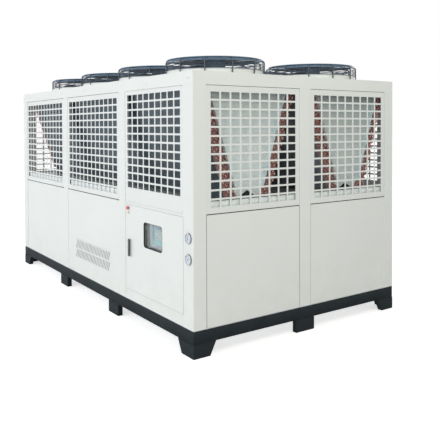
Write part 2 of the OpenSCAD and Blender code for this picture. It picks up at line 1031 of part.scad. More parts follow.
module control_box() {
    inner_w = door_w - 2 * box_wall;
    color(sheet_grey)
        translate([box_x0, box_y, box_z0])
            difference() {
                cube([door_w, box_d, box_h]);
                translate([box_wall, -eps, box_wall])
                    cube([inner_w, box_d - box_wall + eps, box_h - 2 * box_wall]);
            }
}

// Mounting plate in the box, with wiring ducts and rows of breakers and contactors
module switchgear() {
    plate_t = 3;
    plate_margin = 20;
    plate_w = door_w - 2 * box_wall - 2 * plate_margin;
    plate_h = box_h - 2 * box_wall - 2 * plate_margin;
    row_h = plate_h / 3;
    duct_h = 40;
    duct_d = 60;
    device_d = 75;
    device_h = 110;
    device_pitch = 84;
    device_w = 70;
    device_count = floor(plate_w / device_pitch);
    plate_y = box_y + box_d - box_wall;
    color(sheet_grey)
        translate([box_x0 + box_wall + plate_margin, plate_y, box_z0 + box_wall + plate_margin]) {
            translate([0, -plate_t, 0])
                cube([plate_w, plate_t, plate_h]);
            for (row = [0:2]) {
                translate([0, -plate_t - duct_d, row * row_h])
                    cube([plate_w, duct_d + eps, duct_h]);
                for (k = [0:device_count - 1])
                    translate([
                        k * device_pitch,
                        -plate_t - device_d,
                        row * row_h + duct_h + (row_h - duct_h - device_h) / 2
                    ])
                        cube([device_w, device_d + eps, device_h]);
            }
        }
}

// Outline of a w by h rectangle with corners of radius r, from its lower left corner
function rounded(w, h, r) = concat(
    quarter(r, r, r, 180),
    quarter(w - r, r, r, 270),
    quarter(w - r, h - r, r, 0),
    quarter(r, h - r, r, 90)
);

// Upright plate with a rounded outline, from Y = 0 to t
module rounded_plate(w, h, r, t) {
    translate([0, t, 0])
        rotate([90, 0, 0])
            linear_extrude(t)
                polygon(rounded(w, h, r));
}

// From the door's lower left corner on its face
module on_door(x, z, y = 0) {
    translate([door_x0 + x, door_y + y, door_z0 + z])
        children();
}

// Open hollow in the door's back, inside its rim
module door_hollow() {
    difference() {
        on_door(door_rim, door_rim, door_face_t)
            cube([door_w - 2 * door_rim, door_t, door_h - 2 * door_rim]);
        on_door(window_x - window_frame, window_z - window_frame, -eps)
            cube([window_w + 2 * window_frame, door_t + 2 * eps, window_h + 2 * window_frame]);
    }
}

module control_door() {
    bore_l = pin_l + eps;
    color(cream)
        difference() {
            on_door(0, 0)
                cube([door_w, door_t, door_h]);
            door_hollow();
            on_door(window_x, window_z, -eps)
                rounded_plate(window_w, window_h, window_r, door_t + 2 * eps);
            translate([hinge_x, hinge_y, door_z0 - eps])
                cylinder(r = pin_r + pin_clear, h = bore_l + eps);
            translate([hinge_x, hinge_y, door_z1 - bore_l])
                cylinder(r = pin_r + pin_clear, h = bore_l + eps);
        }
}

module door_window() {
    color([0.6, 0.72, 0.75])
        on_door(window_x + fit, window_z + fit, pane_back)
            rounded_plate(window_w - 2 * fit, window_h - 2 * fit, window_r - fit, pane_t);
}

module controller() {
    color(sheet_grey)
        on_door(window_x, window_z, door_t) {
            translate([-controller_rim, 0, -controller_rim])
                cube([
                    window_w + 2 * controller_rim,
                    controller_plate_t,
                    window_h + 2 * controller_rim
                ]);
            translate([controller_rim, 0, controller_rim])
                cube([
                    window_w - 2 * controller_rim,
                    controller_plate_t + controller_d,
                    window_h - 2 * controller_rim
                ]);
        }
}

// Swing handle: a long plate with a lever standing on it
module door_handle() {
    lever_w = 0.6 * handle_w;
    lever_l = 0.72 * handle_l;
    color(charcoal)
        on_door(handle_x, handle_z) {
            translate([-handle_w / 2, -handle_plate_t, -handle_l / 2])
                rounded_plate(handle_w, handle_l, handle_w / 3, handle_plate_t);
            translate([-lever_w / 2, -proud, -lever_l / 2])
                rounded_plate(lever_w, lever_l, lever_w / 3, proud - handle_plate_t / 2);
        }
}

module door_buttons() {
    collar_d = 5;
    button_d = 18;
    lamp_d = 9;
    on_door(button_x, door_h - button_top)
        rotate([90, 0, 0])
            color("firebrick") {
                cylinder(r = button_r, h = collar_d);
                cylinder(r = 0.6 * button_r, h = button_d);
                translate([0, 0, button_d - collar_d])
                    cylinder(r = 0.85 * button_r, h = collar_d);
            }
    on_door(button_x, door_h - button_top - lamp_drop)
        rotate([90, 0, 0])
            color("gold") {
                cylinder(r = lamp_r, h = collar_d);
                cylinder(r = 0.75 * lamp_r, h = lamp_d);
            }
}

module pressure_gauges() {
    color("silver")
        gauge_places() {
            rotate_extrude()
                polygon([
                    [0, 0],
                    [gauge_r, 0],
                    [gauge_r, gauge_t - 3],
                    [gauge_r - 3, gauge_t],
                    [gauge_r - 6, gauge_t],
                    [gauge_r - 7, gauge_t - 4],
                    [0, gauge_t - 4]
                ]);
            translate([0, 0, -gauge_body_d])
                cylinder(r = gauge_body_r, h = gauge_body_d + eps);
        }
}

// Water connections on the back: a pipe through the panel with a drilled flange against it
module water_flanges() {
    color(charcoal)
        pipe_places()
            difference() {
                union() {
                    cylinder(r = flange_r, h = proud);
                    translate([0, 0, -pipe_in])
                        cylinder(r = pipe_r + pipe_wall, h = pipe_in + eps);
                }
                translate([0, 0, -pipe_in - eps])
                    cylinder(r = pipe_r, h = pipe_in + proud + 2 * eps);
                for (k = [0:flange_bolts - 1])
                    rotate([0, 0, (k + 0.5) * 360 / flange_bolts])
                        translate([flange_bolt_circle, 0, -eps])
                            cylinder(r = flange_bolt_r, h = proud + 2 * eps);
            }
}

feet();
base_rails();
base_cross_members();
floor_pan();
corner_posts();
mullions();
front_lower_panels();
vent_louvre();
back_lower_panels();
end_lower_panels();
front_grille_left();
front_grille_middle();
front_grille_right();
back_grille_left();
back_grille_middle();
back_grille_right();
right_grille_front();
right_grille_back();
left_grille_front();
left_grille_back();
roof_fascia();
roof_beam();
roof_end_sheets();
fan_plates();
front_fan_guards();
back_fan_guards();
fan_guard_posts();
fan_motors();
fan_rotor(0);  // fan_rotor_1
fan_rotor(1);  // fan_rotor_2
fan_rotor(2);  // fan_rotor_3
fan_rotor(3);  // fan_rotor_4
fan_rotor(4);  // fan_rotor_5
fan_rotor(5);  // fan_rotor_6
fan_rotor(6);  // fan_rotor_7
fan_rotor(7);  // fan_rotor_8
coil_deck_rails();
coil_deck();
coil_trays();
condenser_coils();
return_bends();
coil_end_plates();
door_frame();
control_box();
switchgear();
control_door();
door_window();
door_handle();
door_buttons();
controller();
pressure_gauges();
water_flanges();
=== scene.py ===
"""Looks of the air cooled water chiller: painted sheet, wire guards, finned coils and copper bends."""
import json
import math

import bpy
from mathutils import Matrix, Vector


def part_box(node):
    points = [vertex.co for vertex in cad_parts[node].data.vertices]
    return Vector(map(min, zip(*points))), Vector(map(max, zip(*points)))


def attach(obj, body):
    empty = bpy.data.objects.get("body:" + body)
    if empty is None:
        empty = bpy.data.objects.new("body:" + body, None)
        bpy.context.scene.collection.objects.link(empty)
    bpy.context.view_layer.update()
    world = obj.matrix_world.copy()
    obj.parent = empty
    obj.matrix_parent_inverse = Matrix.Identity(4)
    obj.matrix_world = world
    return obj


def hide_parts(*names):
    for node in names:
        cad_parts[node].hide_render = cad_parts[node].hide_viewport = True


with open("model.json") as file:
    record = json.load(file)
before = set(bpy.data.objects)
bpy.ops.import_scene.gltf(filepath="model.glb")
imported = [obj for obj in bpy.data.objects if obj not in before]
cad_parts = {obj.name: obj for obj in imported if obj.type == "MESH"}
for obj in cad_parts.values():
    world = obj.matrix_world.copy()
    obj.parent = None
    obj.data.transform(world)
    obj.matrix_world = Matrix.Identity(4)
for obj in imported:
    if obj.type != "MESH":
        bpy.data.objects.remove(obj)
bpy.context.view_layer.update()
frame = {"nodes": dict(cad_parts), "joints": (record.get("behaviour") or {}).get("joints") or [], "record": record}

X, Y, Z = Vector((1, 0, 0)), Vector((0, 1, 0)), Vector((0, 0, 1))
MM = 0.001
SCENE = bpy.context.scene


def mm(*values):
    """Millimetres in metres, for numbers or pairs of them."""
    return [tuple(mm(*v)) if isinstance(v, tuple) else v * MM for v in values]


# Sizes shared with the part's source, in metres
FOOT_H = 105 * MM
CORNER_FOOT_L, CORNER_FOOT_W, CORNER_FOOT_FLARE = mm(170, 148, 53)
MIDDLE_FOOT_L, MIDDLE_FOOT_D, MIDDLE_FOOT_X = mm(200, 46, 616)
GUARD_R, GUARD_BEND, GUARD_HUB_R = mm(425, 22, 100)
GUARD_BAR_R, GUARD_WIRE_R = mm(5, 2.8)
GUARD_SPOKES = 12
COIL_LEAN = math.radians(17.5)
COIL_T = 119 * MM
PLATE_LAP = 15 * MM
MOTOR_R = 85 * MM
DIAL_R = 32.5 * MM
WINDOW_R = 28 * MM
GRILLE_SIDE, GRILLE_END, CONTROL_GRILLE_TOP = mm(45, 48, 36)
GRILLE_ROWS, CONTROL_ROWS = 13, 12
WIDE_COLS, NARROW_COLS = 12, 9

# The guards' real count of wires, more than the solid ones have
GUARD_RINGS = 24
GUARD_HOOPS = 5
GUARD_HOOP_LOW = 50 * MM

# The grilles' real sheet, thinner than the solid one
BAR_W, BAR_H = mm(16.5, 14.5)
SHEET_T, SHEET_INSET, FOLD_DEPTH = mm(1.5, 0.8, 4.5)

# Small turned pieces, as (radius, height) pairs; TIP is the flat that closes one at its axis
TIP = 1 * MM
GUARD_PAD = mm((13, 0), (13, 3), (8, 5))
HUB_BOLT = mm((8, 0), (8, 3), (6, 4.5))
PUSH_BUTTON = mm((11, 4), (11, 12), (16, 13.5), (16.5, 15.5), (13.5, 17.5), (1, 18))
LAMP_LENS = mm((11.2, 4), (11.2, 7), (9, 8.6), (5, 9), (1, 9))
HANDLE_LOCK = mm((1, 0), (7, 0), (7, 3), (5.5, 4), (1, 4))
NEEDLE_HUB = mm((1, 0.6), (4, 0.6), (4, 2.2), (1, 2.6))
TERMINAL = mm((1, 0), (5, 0), (5, 1.5), (1, 2))
SCREW = mm((8.5, -0.5), (8.5, 1), (6.8, 1.1), (6.6, 3), (5.2, 4.2), (2.4, 4.6), (2.2, 3))
SCREW_SIDES = 12

# Panel screws sit this deep in their dimples, which keeps the ends inside the solids' box
SCREW_SUNK = 2 * MM

# Shading and welding of the meshes
SHARP_ANGLE = math.radians(38)
BEVEL_ANGLE = math.radians(40)
WELD_REACH = 0.01 * MM
ROTOR_EDGE = 1.2 * MM

# Places read from the frame
ROOF_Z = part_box("roof_end_sheets")[1].z
SPOKE_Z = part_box("front_fan_guards")[1].z - 2 * GUARD_WIRE_R - GUARD_BAR_R
FANS = [Vector(j["pos_m"]) for j in frame["joints"] if j["name"].startswith("fan_")]


# Meshes


class Shape:
    """Gathers the faces of one piece."""

    def __init__(self):
        self.points = []
        self.faces = []
        self.slots = []

    def add(self, points, faces, slot=0):
        first = len(self.points)
        self.points.extend(points)
        self.faces.extend([first + i for i in face] for face in faces)
        self.slots.extend([slot] * len(faces))

    def block(self, xs, ys, zs, slot=0):
        """Box between two values on each axis, in either order."""
        points = [(x, y, z) for x in sorted(xs) for y in sorted(ys) for z in sorted(zs)]
        faces = [(0, 1, 3, 2), (4, 6, 7, 5), (0, 4, 5, 1), (2, 3, 7, 6), (0, 2, 6, 4), (1, 5, 7, 3)]
        self.add(points, faces, slot)

    def rings(self, rings, closed=False, slot=0):
        """Skin over rings of points, with end caps unless they close on themselves."""
        sides = len(rings[0])
        points = [p for ring in rings for p in ring]
        faces = []
        last = len(rings) if closed else len(rings) - 1
        for k in range(last):
            a, b = k * sides, (k + 1) % len(rings) * sides
            for i in range(sides):
                j = (i + 1) % sides
                faces.append((a + i, a + j, b + j, b + i))
        if not closed:
            faces.append(tuple(reversed(range(sides))))
            faces.append(tuple(range(len(points) - sides, len(points))))
        self.add(points, faces, slot)

    def tube(self, path, radius, sides=8, closed=False, slot=0):
        path = [Vector(p) for p in path]
        count = len(path)
        side = None
        rings = []
        for k, point in enumerate(path):
            if closed:
                run = path[(k + 1) % count] - path[k - 1]
            else:
                run = path[min(k + 1, count - 1)] - path[max(k - 1, 0)]
            run.normalize()
            if side is None:
                side = run.orthogonal() if abs(run.z) > 0.99 else run.cross(Z)
            side = (side - run * side.dot(run)).normalized()
            up = run.cross(side)
            rings.append([
                point + radius * (side * math.cos(a) + up * math.sin(a))
                for a in (math.tau * i / sides for i in range(sides))
            ])
        self.rings(rings, closed, slot)

    def hoop(self, centre, radius, wire_r, steps=64, sides=6, slot=0):
        """Level ring of round wire."""
        path = [centre + Vector(polar(radius, math.tau * k / steps)) for k in range(steps)]
        self.tube(path, wire_r, sides, closed=True, slot=slot)

    def lathe(self, profile, place, axis, steps=32, slot=0):
        """Turns (radius, height) pairs about an axis; both ends are closed."""
        side = axis.orthogonal().normalized()
        up = axis.cross(side)
        rings = [
            [
                place + axis * h + r * (side * math.cos(a) + up * math.sin(a))
                for a in (math.tau * i / steps for i in range(steps))
            ]
            for r, h in profile
        ]
        self.rings(rings, slot=slot)

    def prism(self, outline, place, across, up, depth, slot=0):
        """Outline of (across, up) pairs, pushed along a depth vector."""
        front = [place + across * a + up * b for a, b in outline]
        self.rings([front, [p + depth for p in front]], slot=slot)

    def make(self, name, materials, body="cabinet", slot=None, replaces=(), bevel=0):
        mesh = bpy.data.meshes.new(name)
        mesh.from_pydata([tuple(p) for p in self.points], [], self.faces)
        for material in materials:
            mesh.materials.append(material)
        mesh.polygons.foreach_set("material_index", self.slots)
        mesh.polygons.foreach_set("use_smooth", [True] * len(self.faces))
        mesh.set_sharp_from_angle(angle=SHARP_ANGLE)
        mesh.update()
        piece = bpy.data.objects.new(name, mesh)
        SCENE.collection.objects.link(piece)
        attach(piece, body)
        if replaces:
            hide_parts(*replaces)
        if bevel:
            soften(piece, bevel)


def polar(radius, angle):
    return radius * math.cos(angle), radius * math.sin(angle), 0


def arc(centre, radius, start, sweep, steps):
    """Points (across, up) on an arc, angles in degrees."""
    turns = [math.radians(start + sweep * k / steps) for k in range(steps + 1)]
    return [(centre[0] + radius * math.cos(a), centre[1] + radius * math.sin(a)) for a in turns]


def rounded(width, height, radius, steps=5):
    """Outline of a rectangle with round corners, from its lower left corner."""
    r = radius
    corners = [(r, r, 180), (width - r, r, 270), (width - r, height - r, 0), (r, height - r, 90)]
    return [p for x, y, start in corners for p in arc((x, y), r, start, 90, steps)]


def chamfered(radius, height):
    """Profile of a disc with a chamfered rim."""
    return [(TIP, 0), (radius, 0), (radius, height - 1 * MM), (radius - 2 * MM, height), (TIP, height)]


def spaced(start, stop, count):
    return [start + (stop - start) * k / (count - 1) for k in range(count)]


def soften(piece, width, segments=2):
    """Rounds a piece's edges, after welding its seams."""
    weld = piece.modifiers.new("Weld", "WELD")
    weld.merge_threshold = WELD_REACH
    bevel = piece.modifiers.new("Bevel", "BEVEL")
    bevel.width = width
    bevel.segments = segments
    bevel.limit_method = "ANGLE"
    bevel.angle_limit = BEVEL_ANGLE
    bevel.use_clamp_overlap = True
    normals = piece.modifiers.new("Normals", "WEIGHTED_NORMAL")
    normals.weight = 100
    normals.keep_sharp = False


# Materials


class Look:
    """A material on one principled shader, with helpers for its nodes."""

    def __init__(self, name, colour, roughness, metallic=0):
        self.material = bpy.data.materials.new(name)
        self.material.use_nodes = True
        self.tree = self.material.node_tree
        self.shader = self.tree.nodes["Principled BSDF"]
        self.base = colour
        self.set("Base Color", (*colour, 1))
        self.set("Roughness", roughness)
        self.set("Metallic", metallic)
        self.place = self.tree.nodes.new("ShaderNodeTexCoord").outputs["Object"]
        self.bumped = None

    def set(self, socket, value):
        self.shader.inputs[socket].default_value = value

    def link(self, output, socket):
        self.tree.links.new(output, socket)

    def node(self, kind, source, socket, **values):
        """New node with one input linked and others set; _ stands for a space in their names."""
        node = self.tree.nodes.new("ShaderNode" + kind)
        for name, value in values.items():
            node.inputs[name.replace("_", " ")].default_value = value
        self.link(source, node.inputs[socket])
        return node

    def stretched(self, scale):
        """Object coordinates, scaled along each axis."""
        return self.node("Mapping", self.place, "Vector", Scale=scale).outputs["Vector"]

    def noise(self, scale, detail=3, roughness=0.5, place=None):
        values = dict(Scale=scale, Detail=detail, Roughness=roughness)
        return self.node("TexNoise", place or self.place, "Vector", **values).outputs["Fac"]

    def cells(self, scale):
        """One random grey for each cell."""
        node = self.node("TexVoronoi", self.place, "Vector", Scale=scale)
        return self.node("RGBToBW", node.outputs["Color"], "Color").outputs["Val"]

    def across(self, axis):
        """One of the object coordinates."""
        return self.node("SeparateXYZ", self.place, "Vector").outputs[axis]

    def height(self, low, high):
        """0 at one level of the frame and 1 at another."""
        return self.span(self.across("Z"), low, high)

    def span(self, value, low, high, to_low=0, to_high=1):
        values = dict(From_Min=low, From_Max=high, To_Min=to_low, To_Max=to_high)
        return self.node("MapRange", value, "Value", **values).outputs["Result"]

    def times(self, a, b):
        node = self.node("Math", a, 0)
        node.operation = "MULTIPLY"
        self.link(b, node.inputs[1])
        return node.outputs["Value"]

    def blend(self, factor, first, second):
        """Mix of two colours, each a tuple or another node's output."""
        node = self.tree.nodes.new("ShaderNodeMix")
        node.data_type = "RGBA"
        self.link(factor, node.inputs["Factor"])
        for name, colour in (("A", first), ("B", second)):
            socket = next(s for s in node.inputs if s.name == name and s.type == "RGBA")
            if isinstance(colour, tuple):
                socket.default_value = (*colour, 1)
            else:
                self.link(colour, socket)
        return next(s for s in node.outputs if s.type == "RGBA")

    def varied(self, factor, low, high):
        """Mix of two shades of the look's own colour."""
        return self.blend(factor, shade(self.base, low), shade(self.base, high))

    def colour(self, output):
        self.link(output, self.shader.inputs["Base Color"])

    def rough(self, output):
        self.link(output, self.shader.inputs["Roughness"])

    def bump(self, height, distance, strength):
        node = self.node("Bump", height, "Height", Distance=distance, Strength=strength)
        if self.bumped:
            self.link(self.bumped, node.inputs["Normal"])
        self.bumped = node.outputs["Normal"]
        self.link(self.bumped, self.shader.inputs["Normal"])


def shade(colour, factor):
    return tuple(c * factor for c in colour)


def powder_coat(name, colour):
    """Satin powder coat: faint mottle, dust near the floor and fine orange peel."""
    look = Look(name, colour, 0.42)
    mottle = look.varied(look.span(look.noise(2.2, 5), 0.3, 0.7), 0.985, 1.012)
    low_down = look.height(0.75, 0.2)
    dust = look.times(low_down, look.span(look.noise(7, 6, 0.65), 0.42, 0.75, 0, 0.35))
    look.colour(look.blend(dust, mottle, (0.66, 0.655, 0.60)))
    look.rough(look.span(look.noise(30, 2), 0.3, 0.7, 0.36, 0.48))
    look.bump(look.noise(420, 2), 0.12 * MM, 0.35)
    look.bump(look.noise(1.6, 2), 1.6 * MM, 0.25)
    return look.material


def dark_paint(name, colour, wear, lower=None):
    """Brushed-on dark paint with thin scuffs, and painted shade low down where a lower colour is given."""
    look = Look(name, colour, 0.5)
    look.set("Specular IOR Level", 0.03)
    scuffs = look.span(look.noise(24, 8, 0.7), 0.58, 0.74, 0, 0.5)
    # A lower colour is painted shade: darker towards the bottom, under the rail's top flange.
    paint = look.blend(look.height(0.20, 0.09), colour, lower) if lower else colour
    patches = look.span(look.noise(5, 4), 0.35, 0.65, 0, 0.25)
    mottle = look.blend(patches, paint, shade(colour, 1.5))
    look.colour(look.blend(scuffs, mottle, wear))
    look.rough(look.span(look.noise(40, 3), 0.3, 0.7, 0.42, 0.6))
    look.bump(look.noise(260, 3), 0.15 * MM, 0.5)
    return look.material


def zinc_sheet(name, colour, metallic):
    """Galvanised sheet with its spangle."""
    look = Look(name, colour, 0.42, metallic)
    look.colour(look.varied(look.span(look.cells(55), 0.2, 0.8), 0.9, 1.06))
    look.rough(look.span(look.cells(55), 0.2, 0.8, 0.36, 0.54))
    look.bump(look.noise(3, 2), 1 * MM, 0.2)
    return look.material


def top_shaded_sheet(name, colour, painted_shade):
    """Pale sheet with painted shade: darker towards its top, under the roof, and more so at the back of the
    cabinet.
    """
    look = Look(name, colour, 0.5, 0.05)
    spangle = look.varied(look.span(look.cells(55), 0.2, 0.8), 0.94, 1.04)
    # Painted shade: the plate darkened towards its top, more so at the back.
    rise = look.times(look.height(1.30, 2.06), look.height(1.40, 2))
    depth = look.span(look.across("Y"), -0.4, 0.5, 0.62, 1)
    # Painted shade: the sheet darker towards the back of the cabinet.
    back_shade = look.blend(look.span(look.across("Y"), -0.1, 0.3, 0, 0.45), spangle, shade(colour, 0.62))
    look.colour(look.blend(look.times(rise, depth), back_shade, painted_shade))
    look.bump(look.noise(3, 2), 1 * MM, 0.2)
    return look.material


def coated_wire(name, colour):
    """Plastic-dipped wire, a little uneven."""
    look = Look(name, colour, 0.36)
    look.colour(look.varied(look.noise(9, 4), 0.78, 1.25))
    look.bump(look.noise(160, 2), 0.3 * MM, 0.4)
    return look.material


def cast_fan(name, colour):
    """Dark coated blades and cast motor with a film of dust."""
    look = Look(name, colour, 0.48, 0.2)
    dust = look.span(look.noise(18, 6, 0.65), 0.5, 0.75, 0, 0.6)
    look.colour(look.blend(dust, colour, shade(colour, 2.2)))
    look.bump(look.noise(220, 2), 0.2 * MM, 0.5)
    return look.material


def finned(name, colour):
    """Edges of aluminium fins with painted shade in the gaps between them, dusty in patches."""
    look = Look(name, colour, 0.5, 0.4)
    lines = look.noise(1, 1, place=look.stretched((420, 6, 6)))
    patches = look.varied(look.noise(3, 5), 0.7, 1.3)
    # The darker stripes are painted shade between the fins.
    look.colour(look.blend(look.span(lines, 0.35, 0.65), shade(colour, 0.55), patches))
    look.bump(lines, 0.6 * MM, 0.6)
    return look.material


def tarnished_copper(name, bright, dull):
    look = Look(name, bright, 0.42, 0.45)
    tarnish = look.span(look.noise(38, 6, 0.65), 0.38, 0.62)
    look.colour(look.blend(tarnish, dull, bright))
    look.rough(look.span(look.noise(60, 3), 0.3, 0.7, 0.3, 0.55))
    look.bump(look.noise(300, 2), 0.15 * MM, 0.5)
    return look.material


def moulded(name, colour, roughness=0.4, coat=0):
    """Moulded plastic with a fine grain."""
    look = Look(name, colour, roughness)
    look.set("Coat Weight", coat)
    look.colour(look.varied(look.noise(60, 3), 0.9, 1.08))
    look.bump(look.noise(900, 2), 0.06 * MM, 0.6)
    return look.material


def rubber(name, colour):
    look = Look(name, colour, 0.75)
    look.colour(look.varied(look.noise(90, 4), 0.75, 1.4))
    look.bump(look.noise(500, 3), 0.15 * MM, 0.6)
    return look.material


def plated(name, colour, roughness):
    """Bright plating with faint turning marks."""
    look = Look(name, colour, roughness, 1)
    look.rough(look.span(look.noise(140, 3), 0.3, 0.7, 0.7 * roughness, 1.4 * roughness))
    look.colour(look.varied(look.noise(25, 3), 0.93, 1.04))
    return look.material


def clear_pane(name, colour):
    look = Look(name, colour, 0.03)
    look.set("Transmission Weight", 1)
    look.set("IOR", 1.2)
    look.bump(look.noise(6, 2), 0.2 * MM, 0.15)
    return look.material


def dusty_sheet(name, colour):
    """Painted sheet under a coat of dust."""
    look = Look(name, colour, 0.9)
    look.colour(look.varied(look.noise(240, 6, 0.7), 0.75, 1.1))
    look.bump(look.noise(320, 5), 0.6 * MM, 0.6)
    return look.material


cream = powder_coat("cream_powder_coat", (0.80, 0.82, 0.80))
cream_grille = powder_coat("grille_powder_coat", (0.785, 0.805, 0.79))
charcoal = dark_paint("charcoal_paint", (0.024, 0.0305, 0.035), (0.04, 0.048, 0.054))
# The rail's lower colour is painted shade, darker towards the rail's bottom.
rail_paint = dark_paint("rail_paint", (0.027, 0.034, 0.038), (0.044, 0.052, 0.058), (0.013, 0.0165, 0.0195))
primer = dark_paint("dark_primer", (0.05, 0.054, 0.06), (0.11, 0.11, 0.115))
zinc = zinc_sheet("galvanised_sheet", (0.62, 0.65, 0.65), 0.45)
# End plates with painted shade towards their tops and towards the back.
plate_zinc = top_shaded_sheet("pale_end_plate", (0.72, 0.785, 0.78), (0.30, 0.335, 0.335))
# The flanges' pale blue is a painted reflection.
flange_reflection_tint = zinc_sheet("flange_painted_reflection", (0.66, 0.80, 0.85), 0.05)
pale_zinc = zinc_sheet("pale_rail", (0.80, 0.845, 0.84), 0.05)
# Dark drip trays: their dark tone is painted shade under the coils.
tray_sheet = zinc_sheet("tray_sheet", (0.11, 0.12, 0.125), 0.3)
navy_wire = coated_wire("navy_coated_wire", (0.17, 0.25, 0.355))
bar_wire = coated_wire("dark_coated_bar", (0.05, 0.065, 0.085))
fan_dark = cast_fan("dark_fan", (0.20, 0.27, 0.35))
fin_alloy = finned("coil_fins", (0.165, 0.205, 0.235))
# Lighter copy of the fins for the coils that face the middle gap: painted light in that shaded gap.
painted_light_fins = finned("inner_coil_fins_painted_light", (0.30, 0.33, 0.37))
# Copper-brown tube sheets: painted shade and a painted reflection of the copper bends.
tube_sheet = zinc_sheet("tube_sheet", (0.40, 0.26, 0.24), 0.2)
copper = tarnished_copper("tarnished_copper", (0.66, 0.36, 0.32), (0.36, 0.19, 0.17))
pane = clear_pane("window_pane", (0.92, 0.97, 0.97))
black_plastic = moulded("black_plastic", (0.022, 0.023, 0.026), 0.38)
handle_grey = moulded("handle_grey", (0.075, 0.085, 0.084))
grey_plastic = moulded("grey_plastic", (0.10, 0.112, 0.10), 0.45)
pale_plastic = moulded("pale_plastic", (0.34, 0.345, 0.37), 0.45)
red_plastic = moulded("red_plastic", (0.70, 0.10, 0.09), 0.3, 0.3)
yellow_lens = moulded("yellow_lens", (0.72, 0.70, 0.16), 0.25, 0.4)
screen_body = moulded("screen_grey", (0.30, 0.35, 0.32), 0.2, 0.6)
screen_head = moulded("screen_blue", (0.12, 0.17, 0.27), 0.2, 0.6)
screen_teal = moulded("screen_teal", (0.16, 0.38, 0.37), 0.2, 0.6)
screen_lilac = moulded("screen_lilac", (0.36, 0.36, 0.44), 0.2, 0.6)
chrome = plated("gauge_plating", (0.56, 0.565, 0.61), 0.26)
case_steel = moulded("dark_case", (0.07, 0.075, 0.08))
dial_white = moulded("dial_white", (0.60, 0.615, 0.68), 0.35)
gasket_rubber = rubber("gasket_rubber", (0.022, 0.023, 0.024))
sealant = rubber("grey_sealant", (0.10, 0.104, 0.10))
# The grey-green lining is painted shade of the recess behind the pane.
lining_rubber = rubber("window_lining", (0.16, 0.175, 0.16))
baffle_dust = dusty_sheet("dusty_baffle", (0.62, 0.64, 0.63))

SLOT_LOOKS = dict(
    cream_paint=cream,
    grille_paint=cream_grille,
    charcoal_paint=charcoal,
    galvanised=zinc,
    guard_wire=navy_wire,
    fan_dark=fan_dark,
    fins=fin_alloy,
    copper=copper,
    window_glass=pane,
    black_plastic=black_plastic,
    button_plastic=red_plastic,
    controller_plastic=grey_plastic,
    gauge_metal=chrome,
    pipe_paint=primer,
)
NODE_LOOKS = dict(
    coil_end_plates=plate_zinc,
    coil_deck_rails=pale_zinc,
    coil_trays=tray_sheet,
    base_rails=rail_paint,
)

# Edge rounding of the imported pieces, in millimetres
ROUNDED = {
    4: ["roof_fascia"],
    3: ["front_lower_panels", "back_lower_panels", "end_lower_panels", "fan_motors"],
    2.5: ["corner_posts", "mullions"],
    2: ["control_door", "door_frame", "base_rails", "base_cross_members"],
    1.5: ["fan_plates", "roof_end_sheets", "controller", "water_flanges"],
    1: ["pressure_gauges", "control_box", "switchgear"],
    0.6: ["vent_louvre"],
}
EDGES = {name: size * MM for size, names in ROUNDED.items() for name in names}


def dress_nodes():
    """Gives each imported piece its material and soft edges."""
    for part in frame["record"]["subparts"]:
        name = part["node"]
        node = frame["nodes"][name]
        node.data.materials.clear()
        node.data.materials.append(NODE_LOOKS.get(name, SLOT_LOOKS[part["material_slot"]]))
        if name in EDGES:
            soften(node, EDGES[name])
        elif "rotor" in name:
            soften(node, ROTOR_EDGE, 1)


# Base


def bracket_feet():
    """Flared angle brackets at the corners and plain blocks between them."""
    low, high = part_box("feet")
    depth = MIDDLE_FOOT_D
    shape = Shape()
    for corner_x, along in ((low.x, 1), (high.x, -1)):
        for corner_y, inward in ((low.y, 1), (high.y, -1)):
            rings = []
            for z, flare in ((0, 0), (FOOT_H, CORNER_FOOT_FLARE)):
                length, width = CORNER_FOOT_L + flare, CORNER_FOOT_W + flare
                plan = [(0, 0), (length, 0), (length, depth), (depth, depth), (depth, width), (0, width)]
                ring = [Vector((corner_x + along * u, corner_y + inward * v, z)) for u, v in plan]
                rings.append(ring if along == inward else ring[::-1])
            shape.rings(rings)
    half = MIDDLE_FOOT_L / 2
    for x in (-MIDDLE_FOOT_X, MIDDLE_FOOT_X):
        for y in (low.y, high.y - depth):
            shape.block((x - half, x + half), (y, y + depth), (0, FOOT_H))
    for x in (low.x, high.x - depth):
        shape.block((x, x + depth), (-half, half), (0, FOOT_H))
    shape.make("base_feet", [charcoal], slot="charcoal_paint", replaces=("feet",), bevel=2 * MM)


# Grilles

GRILLES = [part["node"] for part in frame["record"]["subparts"] if part["material_slot"] == "grille_paint"]


def grille_place(name):
    """Outer lower corner of a grille, its directions along and inward, and its width and height."""
    low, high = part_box(name)
    places = {
        "front": (low, X, Y),
        "right": (Vector((high.x, low.y, low.z)), Y, -X),
        "back": (Vector((high.x, high.y, low.z)), -X, -Y),
        "left": (Vector((low.x, high.y, low.z)), -Y, X),
    }
    corner, along, inward = places[name.split("_")[0]]
    return corner, along, inward, abs((high - low).dot(along)), high.z - low.z


def is_control(name):
    """The shorter grilles over the control door and opposite it."""
    return name in ("front_grille_right", "back_grille_right")


def hole_lines(size, first, pitch, hole, count):
    """Edges of a sheet and of its holes in one direction."""
    starts = [first + k * pitch for k in range(count)]
    return [SHEET_INSET] + [a for start in starts for a in (start, start + hole)] + [size - SHEET_INSET]


def inside(value, size):
    """A place on a sheet, kept off its edges."""
    return min(max(value, SHEET_INSET), size - SHEET_INSET)


